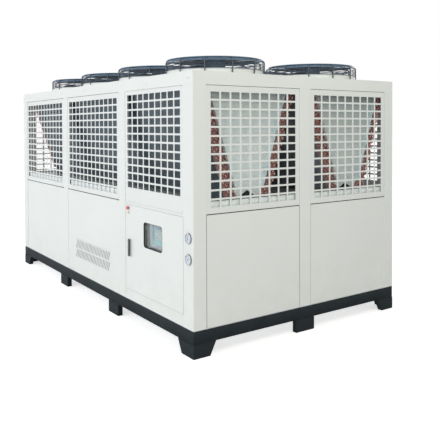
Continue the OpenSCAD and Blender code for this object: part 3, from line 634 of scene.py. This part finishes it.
def punched_sheets():
    """Grilles of thin sheet with folded edges."""
    for name in GRILLES:
        corner, along, inward, width, height = grille_place(name)
        control = is_control(name)
        wide = name.startswith(("front", "back")) and not control
        cols = WIDE_COLS if wide else NARROW_COLS
        rows = CONTROL_ROWS if control else GRILLE_ROWS
        top = CONTROL_GRILLE_TOP if control else GRILLE_END
        hole_w = (width - 2 * GRILLE_SIDE - (cols - 1) * BAR_W) / cols
        hole_h = (height - 2 * GRILLE_END - (GRILLE_ROWS - 1) * BAR_H) / GRILLE_ROWS
        step = hole_h + BAR_H
        us = hole_lines(width, GRILLE_SIDE, hole_w + BAR_W, hole_w, cols)
        vs = hole_lines(height, height - top - hole_h - (rows - 1) * step, step, hole_h, rows)
        shape = Shape()
        face = [corner + along * u + Z * v for v in vs for u in us]
        points = face + [p + inward * SHEET_T for p in face]
        line, back = len(us), len(face)
        faces = []
        for j in range(len(vs) - 1):
            for i in range(len(us) - 1):
                a = j * line + i
                ring = (a, a + 1, a + line + 1, a + line)
                if i % 2 and j % 2:
                    for p, q in zip(ring, ring[1:] + ring[:1]):
                        faces.append((p, q, q + back, p + back))
                else:
                    faces.append(ring)
                    faces.append(tuple(p + back for p in reversed(ring)))
        shape.add(points, faces)
        for u, v, run, rise in (
            (0, 0, width, SHEET_T), (0, height - SHEET_T, width, SHEET_T),
            (0, 0, SHEET_T, height), (width - SHEET_T, 0, SHEET_T, height),
        ):
            fold = [(u, v), (u + run, v), (u + run, v + rise), (u, v + rise)]
            inset = [(inside(a, width), inside(b, height)) for a, b in fold]
            shape.prism(inset, corner, along, Z, inward * FOLD_DEPTH)
        shape.make("sheet_" + name, [cream_grille], slot="grille_paint", replaces=(name,))


# Fans


def guard_basket(shape, fan):
    """Bent bars, ring wires and the middle plate over one fan."""
    wire, bar = range(2)
    seat = 0.6 * GUARD_WIRE_R
    floor = Vector((fan.x, fan.y, ROOF_Z))
    foot_r = GUARD_R - GUARD_BAR_R
    bend_r = foot_r - GUARD_BEND
    corner_z = SPOKE_Z - ROOF_Z - GUARD_BEND
    profile = [(foot_r, 0)]
    profile += arc((bend_r, corner_z), GUARD_BEND, 0, 90, 6)
    profile += [(GUARD_HUB_R - 8 * MM, SPOKE_Z - ROOF_Z)]
    for k in range(GUARD_SPOKES):
        out = Vector(polar(1, math.tau * (k + 0.5) / GUARD_SPOKES))
        shape.tube([floor + out * r + Z * z for r, z in profile], GUARD_BAR_R, 8, slot=bar)
        shape.lathe(GUARD_PAD, floor + out * foot_r, Z, 10, slot=bar)

    def hoop(level, radius, slot=wire):
        shape.hoop(Vector((fan.x, fan.y, level)), radius, GUARD_WIRE_R, slot=slot)

    for radius in spaced(GUARD_HUB_R + 10 * MM, bend_r, GUARD_RINGS):
        hoop(SPOKE_Z + GUARD_BAR_R + seat, radius)
    bend_inside = GUARD_BEND - GUARD_BAR_R - seat
    for lean in (math.radians(10), math.radians(50)):
        hoop(ROOF_Z + corner_z + bend_inside * math.sin(lean), bend_r + bend_inside * math.cos(lean))
    for k in range(GUARD_HOOPS):
        level = ROOF_Z + GUARD_HOOP_LOW + k * (corner_z - GUARD_HOOP_LOW) / GUARD_HOOPS
        hoop(level, foot_r - GUARD_BAR_R - seat, bar)
    spoke_top = Vector((fan.x, fan.y, SPOKE_Z + GUARD_BAR_R))
    shape.lathe(chamfered(GUARD_HUB_R, 4 * MM), spoke_top - Z * 0.5 * MM, Z, 40)
    bolts, bolt_circle_r = 4, 62 * MM
    for k in range(bolts):
        spot = Vector(polar(bolt_circle_r, math.tau * (k + 0.5) / bolts))
        shape.lathe(HUB_BOLT, spoke_top + Z * 1 * MM + spot, Z, 6)


def fan_guards():
    for name, fans, stands_for in (
        ("front_guard_baskets", FANS[:4], ("front_fan_guards", "fan_guard_posts")),
        ("back_guard_baskets", FANS[4:], ("back_fan_guards",)),
    ):
        shape = Shape()
        for fan in fans:
            guard_basket(shape, fan)
        shape.make(name, [navy_wire, bar_wire], slot="guard_wire", replaces=stands_for)


def motor_ribs():
    """Cooling ribs around the motors."""
    ribs = 28
    half_t, sunk, depth = mm(2, 1, 7)
    motor_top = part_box("fan_motors")[1].z
    levels = (motor_top - 50 * MM, motor_top - 8 * MM)
    shape = Shape()
    for fan in FANS:
        for k in range(ribs):
            out = Vector(polar(1, math.tau * k / ribs))
            across = Z.cross(out) * half_t
            base = Vector((fan.x, fan.y, 0)) + out * (MOTOR_R - sunk)
            tip = base + out * depth
            corners = [base - across, base + across, tip + across, tip - across]
            shape.rings([[p + Z * level for p in corners] for level in levels])
    shape.make("motor_ribs", [fan_dark], slot="fan_dark")


# Coils

COIL_LOW, COIL_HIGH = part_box("condenser_coils")
COIL_H = COIL_HIGH.z - COIL_LOW.z
COIL_SPREAD = COIL_H * math.tan(COIL_LEAN)
COIL_LENGTH = COIL_H / math.cos(COIL_LEAN)
COIL_HALF = COIL_HIGH.y - FANS[4].y - COIL_SPREAD - COIL_T
COIL_ENDS = ((-1, COIL_LOW.x), (1, COIL_HIGH.x))
# Lower inner y and outward sign of each coil
COILS = [(fan.y + sign * COIL_HALF, sign) for fan in (FANS[0], FANS[4]) for sign in (-1, 1)]


def coil_section(x, y, sign, near, far):
    """Outline of a leaning coil at one x, between two depths from its inner face."""
    inner, outer, lean = y + sign * near, y + sign * far, sign * COIL_SPREAD
    low, high = COIL_LOW.z, COIL_HIGH.z
    corners = [(inner, low), (outer, low), (outer + lean, high), (inner + lean, high)]
    return [Vector((x, a, b)) for a, b in corners]


def coil_slope(sign):
    """Direction up along a coil."""
    return Vector((0, sign * math.sin(COIL_LEAN), math.cos(COIL_LEAN)))


def coil_packs():
    """Coils with pleated faces."""
    pleat, depth = mm(8, 3)
    shape = Shape()
    outer_coil, inner_coil = range(2)
    run = COIL_HIGH.x - COIL_LOW.x
    stations = int(run / pleat) * 2
    for y, sign in COILS:
        rings = []
        for k in range(stations + 1):
            dip = depth * (k % 2)
            ring = coil_section(COIL_LOW.x + run * k / stations, y, sign, dip, COIL_T - dip)
            rings.append(ring if sign > 0 else ring[::-1])
        # Coils facing the middle gap take the lighter fins, painted light in their shade.
        shape.rings(rings, slot=inner_coil if sign * y < 0 else outer_coil)
    shape.make("finned_coils", [fin_alloy, painted_light_fins], slot="fins", replaces=("condenser_coils",))


def plate_flanges():
    """Folded edges of the end plates, along the coils."""
    plate_low, plate_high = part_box("coil_end_plates")
    fold, sheet_t, foot = mm(36, 1.2, 70)
    drift = foot / COIL_H * COIL_SPREAD
    shape = Shape()
    for y, sign in COILS:
        for end, face in ((-1, plate_low.x), (1, plate_high.x)):
            edge = y + sign * (PLATE_LAP - sheet_t)
            rings = []
            for lean, level in ((drift, COIL_LOW.z + foot), (COIL_SPREAD, COIL_HIGH.z)):
                inner, tip = edge + sign * lean, face + end * fold
                outer = inner + sign * sheet_t
                ring = [(face, inner), (tip, inner), (tip, outer), (face, outer)]
                rings.append([Vector((a, b, level)) for a, b in ring])
            shape.rings(rings)
    # Their pale blue colour is a painted reflection.
    shape.make("plate_flanges", [flange_reflection_tint], slot="galvanised")


def return_bends():
    """Columns of copper hairpin bends at each coil end."""
    rows = 5
    row_step, first_row, first_bend = mm(21, 24, 20)
    pitch, bend_r, tube_r, stub = mm(50, 12.5, 6, 14)
    shape = Shape()
    for y, sign in COILS:
        slope = coil_slope(sign)
        for end, face in COIL_ENDS:
            for row in range(rows):
                start = first_bend + (row % 2) * pitch / 2
                count = int((COIL_LENGTH - start - 2 * bend_r) / pitch) + 1
                foot = Vector((face, y + sign * (first_row + row * row_step), COIL_LOW.z))
                for k in range(count):
                    first = foot + slope * (start + k * pitch)
                    path = [first]
                    for a, b in arc((stub, bend_r), bend_r, -90, 180, 6):
                        path.append(first + X * end * a + slope * b)
                    path.append(first + slope * 2 * bend_r)
                    shape.tube(path, tube_r, 6)
    shape.make("hairpin_bends", [copper], slot="copper", replaces=("return_bends",))


def coil_headers():
    """A header pipe with its stubs beside the left end of each coil."""
    pipe_r, stub_r, stand_off, margin, pitch = mm(14, 4.5, 70, 60, 75)
    shape = Shape()
    for y, sign in COILS:
        slope = coil_slope(sign)
        foot = Vector((COIL_LOW.x, y + sign * (COIL_T - pipe_r - 2 * MM), COIL_LOW.z))
        pipe = foot - X * stand_off
        shape.tube([pipe + slope * margin, pipe + slope * (COIL_LENGTH - margin)], pipe_r, 14)
        for k in range(int((COIL_LENGTH - 3 * margin) / pitch) + 1):
            start = foot + slope * (1.5 * margin + k * pitch)
            shape.tube([start, start - X * stand_off], stub_r, 6)
    shape.make("coil_headers", [copper], slot="copper")


def tube_sheets():
    """Sheet behind the bends at each coil end; its copper-brown colour is painted shade and a painted reflection
    of the bends.
    """
    sheet_t, clear = mm(2, 1)
    shape = Shape()
    for y, sign in COILS:
        for end, face in COIL_ENDS:
            sheet = coil_section(face, y, sign, PLATE_LAP + clear, COIL_T)
            shape.rings([sheet, [p + X * end * sheet_t for p in sheet]])
    shape.make("coil_tube_sheets", [tube_sheet], slot="galvanised")


def deck_upstands():
    """Folded pale edges of the coil deck, just behind the lowest row of the full grilles."""
    shape = Shape()
    sunk, side, rise = 14 * MM, 12 * MM, GRILLE_END + 44 * MM
    for name in GRILLES:
        if is_control(name):
            continue
        corner, along, inward, width, _ = grille_place(name)
        run = width - 2 * side
        outline = [(0, 0), (run, 0), (run, rise), (0, rise)]
        shape.prism(outline, corner + along * side + inward * sunk, along, Z, inward * SHEET_T)
    shape.make("deck_upstands", [pale_zinc], slot="galvanised")


# Control bay


def window_trim():
    """Rubber lining of the window's edge, grey-green behind the pane as painted shade of the recess, and the bead
    in front of the pane.
    """
    low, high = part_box("door_window")
    door_low, door_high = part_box("control_door")
    width, height = high.x - low.x, high.z - low.z
    lining, gap, bead_r = mm(1.5, 0.2, 2.2)
    outer = rounded(width, height, WINDOW_R)
    across, up = 1 - 2 * lining / width, 1 - 2 * lining / height
    inner = [(lining + a * across, lining + b * up) for a, b in outer]

    def loop(outline, y):
        return [Vector((low.x + a, y, low.z + b)) for a, b in outline]

    shape = Shape()
    spans = [(door_low.y - 1 * MM, low.y - gap), (high.y + gap, door_high.y - gap)]
    for slot, (front, back) in enumerate(spans):
        rings = [loop(outer, front), loop(inner, front), loop(inner, back), loop(outer, back)]
        shape.rings(rings, closed=True, slot=slot)
    shape.tube(loop(inner, low.y - 2.5 * MM), bead_r, 6, closed=True)
    shape.make("window_gasket", [gasket_rubber, lining_rubber], body="door", slot="black_plastic")


def controller_face():
    """Panel behind the window: a dark bezel whose wide left strip is painted shade of the recess, a screen in
    plain bands and a row of keys.
    """
    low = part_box("door_window")[0]
    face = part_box("controller")[0].y
    shape = Shape()
    grey, pale, body, head, teal, lilac = range(6)
    # Left, bottom, right and top from the window's corner, and how far each stands out, in millimetres
    bands = [
        # The first band's dark grey shows as a wide strip on the left: painted shade of the recess.
        (2, 2, 298, 208, 1, grey),
        (62, 14, 294, 200, 3, pale),
        (108, 42, 288, 190, 4, body),
        (108, 166, 288, 190, 4.4, head),
        (108, 46, 140, 190, 4.5, head),
        (140, 86, 158, 190, 4.5, teal),
        (124, 44, 284, 80, 4.6, teal),
        (176, 112, 206, 150, 4.5, lilac),
        (214, 112, 272, 124, 4.5, lilac),
    ]
    bands += [(112 + 34 * k, 20, 136 + 34 * k, 32, 5, lilac) for k in range(5)]
    for x0, z0, x1, z1, front, slot in bands:
        shape.block((low.x + x0 * MM, low.x + x1 * MM), (face - front * MM, face + 0.5 * MM),
                    (low.z + z0 * MM, low.z + z1 * MM), slot)
    looks = [grey_plastic, pale_plastic, screen_body, screen_head, screen_teal, screen_lilac]
    shape.make("controller_face", looks, body="door", slot="controller_plastic", bevel=0.6 * MM)


def button_and_lamp():
    """Push button and lamp in their collars."""
    low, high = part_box("door_buttons")
    door_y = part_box("control_door")[0].y
    button_r, lamp_r, collar_h = mm(19, 15, 5)
    x = (low.x + high.x) / 2
    shape = Shape()
    red, yellow, ring = range(3)
    for radius, z, head, slot in (
        (button_r, high.z - button_r, PUSH_BUTTON, red),
        (lamp_r, low.z + lamp_r, LAMP_LENS, yellow),
    ):
        place = Vector((x, door_y, z))
        shape.lathe(chamfered(radius, collar_h), place, -Y, 32, ring)
        shape.lathe(head, place, -Y, 32, slot)
    shape.make("button_and_lamp", [red_plastic, yellow_lens, chrome], body="door",
               slot="button_plastic", replaces=("door_buttons",))


def swing_handle():
    """Handle on its base plate, with the neck that carries it and a lock."""
    low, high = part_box("door_handle")
    door_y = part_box("control_door")[0].y
    width, height = high.x - low.x, high.z - low.z
    bar_w, bar_end, bar_off = mm(20, 5, 9)
    neck_w, neck_h, neck_drop = mm(14, 28, 42)
    out = -Y
    shape = Shape()
    grey, cream_base, metal = range(3)
    foot = Vector((low.x, door_y + 0.2 * MM, low.z))
    shape.prism(rounded(width, height, 6 * MM), foot, X, Z, out * 4 * MM, cream_base)
    bar = foot + X * (width - bar_w) + Z * bar_end + out * bar_off
    bar_depth = door_y - low.y - 10 * MM
    shape.prism(rounded(bar_w, height - 2 * bar_end, 8 * MM), bar, X, Z, out * bar_depth, grey)
    neck = foot + X * (width - neck_w) / 2 + Z * (height - neck_drop) + out * 3 * MM
    shape.prism(rounded(neck_w, neck_h, 5 * MM), neck, X, Z, out * 8 * MM, grey)
    lock = foot + X * width / 2 + Z * 16 * MM + out * 3 * MM
    shape.lathe(HANDLE_LOCK, lock, out, 20, metal)
    shape.make("swing_handle", [handle_grey, cream, chrome], body="door", slot="black_plastic",
               replaces=("door_handle",), bevel=1.2 * MM)


def door_stop():
    """Pale flange behind the gap around the door, and the lip that narrows the gap."""
    low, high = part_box("control_door")
    lap, gap, clear, hinge_clear = mm(12, 8.5, 2, 6)
    flange = (high.y + 5.5 * MM, high.y + 9 * MM)
    lip = (low.y + 1 * MM, high.y - 3 * MM)
    x0, x1, z0, z1 = low.x - gap, high.x + gap, low.z - gap, high.z + gap
    shape = Shape()
    shape.block((x0, low.x + lap), flange, (z0, z1))
    shape.block((high.x - lap, x1), flange, (z0, z1))
    shape.block((low.x + lap, high.x - lap), flange, (z0, low.z + lap))
    shape.block((low.x + lap, high.x - lap), flange, (high.z - lap, z1))
    shape.block((x0, low.x - clear), lip, (z0, z1))
    shape.block((low.x - clear, x1), lip, (high.z + clear, z1))
    shape.block((low.x - clear, x1), lip, (z0, low.z - clear))
    shape.block((high.x + hinge_clear, x1), lip, (low.z - clear, high.z + clear))
    shape.make("door_stop_flange", [cream], slot="cream_paint")


def seam_strips():
    """Rubber in the seams under and over the grilles, and a painted strip over the control door."""
    shape = Shape()
    rubber_strip, painted = range(2)
    depth, rubber_sunk, painted_sunk = mm(12, 2.5, 0.4)
    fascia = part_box("roof_fascia")[0].z
    panel_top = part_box("back_lower_panels")[1].z
    for name in GRILLES:
        corner, along, inward, width, height = grille_place(name)
        over_door = name == "front_grille_right"
        slot, sunk = (painted, painted_sunk) if over_door else (rubber_strip, rubber_sunk)
        near = corner + inward * sunk
        far = corner + along * width + inward * depth
        for levels in ((panel_top, corner.z), (corner.z + height, fascia)):
            shape.block((near.x, far.x), (near.y, far.y), levels, slot)
    shape.make("seam_strips", [gasket_rubber, cream], slot="black_plastic")


def post_beads():
    """Sealant in the corners between end panels and posts, painted over beside the back posts."""
    low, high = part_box("end_lower_panels")
    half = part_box("right_grille_back")[0].y
    wide_bead, fine_bead, painted_bead = mm(4.6, 1.8, 6)
    sunk, proud = mm(1, 1.2)
    grey, painted = range(2)
    beads = [
        (low.y, wide_bead, grey),
        (-half, -fine_bead, grey),
        (half, fine_bead, grey),
        (high.y, -painted_bead, painted),
    ]
    shape = Shape()
    for face, out in ((high.x, 1), (low.x, -1)):
        for y, bead, slot in beads:
            shape.block((face - out * sunk, face + out * proud), (y, y + bead), (low.z, high.z), slot)
    shape.make("post_beads", [sealant, cream], slot="black_plastic")


def gauge_faces():
    """Dials with plain ticks, a needle and a domed glass."""
    low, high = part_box("pressure_gauges")
    post_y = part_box("corner_posts")[0].y
    x, radius = (low.x + high.x) / 2, (high.x - low.x) / 2
    plane = low.y + 4 * MM
    zero, sweep, ticks, red_from = 225, 270, 30, 24
    tick_r, wall_h, glass_r = DIAL_R - 3 * MM, 8.5 * MM, DIAL_R + 0.5 * MM
    out = -Y
    dials, glass = Shape(), Shape()
    white, black, red, case = range(4)

    def blade(centre, turn, ends, thick, slot):
        """Flat bar at a share of the sweep, between two (distance, half width) ends."""
        a = math.radians(zero - sweep * turn)
        along = X * math.cos(a) + Z * math.sin(a)
        side = X * math.sin(a) - Z * math.cos(a)
        (near, near_half), (far, far_half) = ends
        plan = [(near, -near_half), (near, near_half), (far, far_half), (far, -far_half)]
        dials.prism(plan, centre, along, side, out * thick, slot)

    face = [(TIP, 0.1 * MM), (DIAL_R, 0.1 * MM), (DIAL_R, 0.6 * MM), (TIP, 0.6 * MM)]
    dome = [(TIP, 2.8 * MM), (glass_r, 2.8 * MM), (glass_r, 3.3 * MM), (20 * MM, 3.8 * MM), (TIP, 3.9 * MM)]
    rim_in, rim_out = radius - 1 * MM, radius + 0.3 * MM
    rim = [(rim_in, 0), (rim_out, 0), (rim_out, wall_h), (rim_in, wall_h)]
    for z, reading in ((high.z - radius, 0.40), (low.z + radius, 0.75)):
        centre = Vector((x, plane, z))
        dials.lathe(face, centre, out, 40, white)
        for k in range(ticks + 1):
            length, half = mm(7, 0.8) if k % 5 == 0 else mm(4, 0.4)
            ends = [(tick_r, half), (tick_r - length, half)]
            blade(centre + out * 0.5 * MM, k / ticks, ends, 0.4 * MM, red if k > red_from else black)
        blade(centre + out * 1.2 * MM, reading, mm((-10, 1.6), (26, 0.3)), 0.5 * MM, black)
        dials.lathe(NEEDLE_HUB, centre, out, 16, black)
        glass.lathe(dome, centre, out, 40)
        dials.lathe(rim, Vector((x, post_y, z)), out, 40, case)
    dials.make("gauge_dials", [dial_white, black_plastic, red_plastic, case_steel], slot="gauge_metal")
    glass.make("gauge_glasses", [pane], slot="window_glass")


def vent_baffle():
    """Rain baffle close behind the slotted vent."""
    low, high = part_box("vent_louvre")
    side, gap, back = mm(4, 3, 12)
    shape = Shape()
    shape.block((low.x + side, high.x - side), (high.y + gap, high.y + back), (low.z + side, high.z - side))
    shape.make("vent_baffle", [baffle_dust], slot="cream_paint", bevel=2 * MM)


def switchgear_details():
    """Toggles, terminals, duct slots and comb bars in the control box."""
    low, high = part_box("switchgear")
    rows, poles = 3, 3
    plate_t, tooth = mm(3, 9)
    duct_h, duct_d, slot_pitch, slot_w, slot_end = mm(40, 60, 14, 4, 4)
    device_h, device_d, device_w, pitch = mm(110, 75, 70, 84)
    row_h = (high.z - low.z) / rows
    count = int((high.x - low.x) / pitch)
    front = high.y - plate_t - device_d
    duct_front = high.y - plate_t - duct_d
    shape = Shape()
    dark, pale, metal = range(3)
    for row in range(rows):
        duct_z = low.z + row * row_h
        device_z = duct_z + duct_h + (row_h - duct_h - device_h) / 2
        device_top = device_z + device_h
        bar_z = device_top + tooth
        for k in range(int((high.x - low.x) / slot_pitch)):
            x = low.x + (k + 0.5) * slot_pitch
            shape.block((x, x + slot_w), (duct_front - 0.6 * MM, duct_front + 0.4 * MM),
                        (duct_z + slot_end, duct_z + duct_h - slot_end), dark)
        for k in range(count):
            x = low.x + k * pitch
            shape.block((x + 8 * MM, x + device_w - 8 * MM), (front - 2 * MM, front + 0.5 * MM),
                        (device_z + 30 * MM, device_top - 30 * MM), pale)
            shape.block((x + 26 * MM, x + device_w - 26 * MM), (front - 9 * MM, front - 1 * MM),
                        (device_z + 46 * MM, device_z + 62 * MM), dark)
            for pole in range(poles):
                px = x + device_w * (pole + 0.5) / poles
                for z in (device_z + 8 * MM, device_top - 8 * MM):
                    shape.lathe(TERMINAL, Vector((px, front + 0.5 * MM, z)), -Y, 10, pale)
                shape.block((px - 4 * MM, px + 4 * MM), (front + 14 * MM, front + 17 * MM),
                            (bar_z - tooth, bar_z + 1 * MM), metal)
        bar_end = low.x + (count - 1) * pitch + device_w
        shape.block((low.x + 6 * MM, bar_end - 6 * MM), (front + 10 * MM, front + 21 * MM),
                    (bar_z, bar_z + 13 * MM), dark)
    shape.make("switchgear_details", [black_plastic, pale_plastic, copper], slot="black_plastic")


# Fasteners


def panel_screws():
    """Screws along the panels, grilles, fascia and fan plates."""
    shape = Shape()
    inset, fascia_end, plate_edge = mm(15, 60, 12)
    panel_low, panel_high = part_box("back_lower_panels")

    def screw(place, out):
        shape.lathe(SCREW, place, out, SCREW_SIDES)

    for name in GRILLES:
        corner, along, inward, width, height = grille_place(name)
        levels = spaced(corner.z + inset, corner.z + height - inset, 4)
        if name != "front_grille_right":
            levels += spaced(panel_low.z + inset, panel_high.z - inset, 3)
        for u in (inset, width - inset):
            for z in levels:
                screw(corner + along * u + Z * (z - corner.z) + inward * SCREW_SUNK, -inward)
    low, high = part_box("roof_fascia")
    mid = (low.z + high.z) / 2
    for x in spaced(low.x + fascia_end, high.x - fascia_end, 7):
        screw(Vector((x, low.y, mid)), -Y)
        screw(Vector((x, high.y, mid)), Y)
    half_pitch = (FANS[0].x - FANS[1].x) / 2
    for fan in FANS:
        for side in (-1, 1):
            for dy in (-0.5, -0.17, 0.17, 0.5):
                screw(Vector((fan.x + side * (half_pitch - plate_edge), fan.y + dy, ROOF_Z)), Z)
    shape.make("panel_screws", [cream], slot="cream_paint")


# Scene


def studio():
    """White floor and backdrop that keep the shadow, soft world light and three soft lamps."""
    SCENE.view_settings.view_transform = "Standard"
    world = bpy.data.worlds.new("studio_world")
    SCENE.world = world
    world.use_nodes = True
    tree = world.node_tree
    tree.nodes.clear()
    mix = tree.nodes.new("ShaderNodeMixShader")
    tree.links.new(seen_rays(tree), mix.inputs["Fac"])
    for socket, colour, strength in ((1, (1, 1, 0.985, 1), 0.5), (2, (1, 1, 1, 1), 1)):
        light = tree.nodes.new("ShaderNodeBackground")
        light.inputs["Color"].default_value = colour
        light.inputs["Strength"].default_value = strength
        tree.links.new(light.outputs["Background"], mix.inputs[socket])
    output = tree.nodes.new("ShaderNodeOutputWorld")
    tree.links.new(mix.outputs["Shader"], output.inputs["Surface"])

    reach = 60
    corners = [(-reach, -reach, 0), (reach, -reach, 0), (reach, reach, 0), (-reach, reach, 0)]
    mesh = bpy.data.meshes.new("studio_floor")
    mesh.from_pydata(corners, [], [(0, 1, 2, 3)])
    floor = bpy.data.objects.new("studio_floor", mesh)
    SCENE.collection.objects.link(floor)
    mesh.materials.append(floor_look())

    softbox("front_softbox", (-1.5, -10, 5.5), (17, 5), 640, (0.93, 0.96, 1))
    softbox("camera_fill", (8.2, -5.2, 2.2), (1.6, 1.6), 50, (1, 1, 0.96))
    softbox("end_softbox", (5.4, -0.7, 5.1), (2.4, 1.8), 70, (0.985, 1, 0.86))


def softbox(name, place, size, energy, colour):
    """Broad lamp that faces the middle of the cabinet."""
    aim = Vector((0, 0, 1.2))
    lamp = bpy.data.lights.new(name, "AREA")
    lamp.shape = "RECTANGLE"
    lamp.size, lamp.size_y = size
    lamp.energy = energy
    lamp.color = colour
    box = bpy.data.objects.new(name, lamp)
    box.location = place
    box.rotation_euler = (aim - box.location).to_track_quat("-Z", "Y").to_euler()
    SCENE.collection.objects.link(box)


def seen_rays(tree):
    """1 for camera, mirror and glass rays, which see the plain white."""
    path = tree.nodes.new("ShaderNodeLightPath")
    total = path.outputs["Is Camera Ray"]
    for name in ("Is Glossy Ray", "Is Transmission Ray"):
        node = tree.nodes.new("ShaderNodeMath")
        node.operation = "MAXIMUM"
        tree.links.new(total, node.inputs[0])
        tree.links.new(path.outputs[name], node.inputs[1])
        total = node.outputs["Value"]
    return total


def floor_look():
    """Pale floor; what the camera sees is lifted to white and keeps the shadow."""
    look = Look("studio_floor_look", (0.8, 0.8, 0.8), 0.9)
    look.set("Specular IOR Level", 0)
    look.set("Emission Color", (1, 1, 1, 1))
    lift = look.span(seen_rays(look.tree), 0, 1, 0, 0.64)
    look.link(lift, look.shader.inputs["Emission Strength"])
    return look.material


def photo_camera():
    """Camera at the photograph's place, with its vertical shift."""
    place = Vector((5.6871, -3.4481, 1.7019))
    yaw, pitch, roll = (math.radians(a) for a in (145.0677, -1.0831, -0.2185))
    ahead = Vector((math.cos(yaw) * math.cos(pitch), math.sin(yaw) * math.cos(pitch), math.sin(pitch)))
    right = ahead.cross(Z).normalized()
    up = right.cross(ahead)
    tilted_right = math.cos(roll) * right + math.sin(roll) * up
    tilted_up = -math.sin(roll) * right + math.cos(roll) * up
    data = bpy.data.cameras.new("photo_camera")
    data.sensor_width = 36
    data.lens = 49.64
    data.shift_y = -0.1867
    data.clip_start, data.clip_end = 0.05, 200
    camera = bpy.data.objects.new("photo_camera", data)
    turn = Matrix((tilted_right, tilted_up, -ahead)).transposed()
    camera.matrix_world = Matrix.Translation(place) @ turn.to_4x4()
    SCENE.collection.objects.link(camera)
    SCENE.camera = camera


photo_camera()
studio()
dress_nodes()
bracket_feet()
punched_sheets()
fan_guards()
motor_ribs()
coil_packs()
plate_flanges()
return_bends()
coil_headers()
tube_sheets()
deck_upstands()
window_trim()
controller_face()
button_and_lamp()
swing_handle()
door_stop()
seam_strips()
post_beads()
gauge_faces()
vent_baffle()
switchgear_details()
panel_screws()
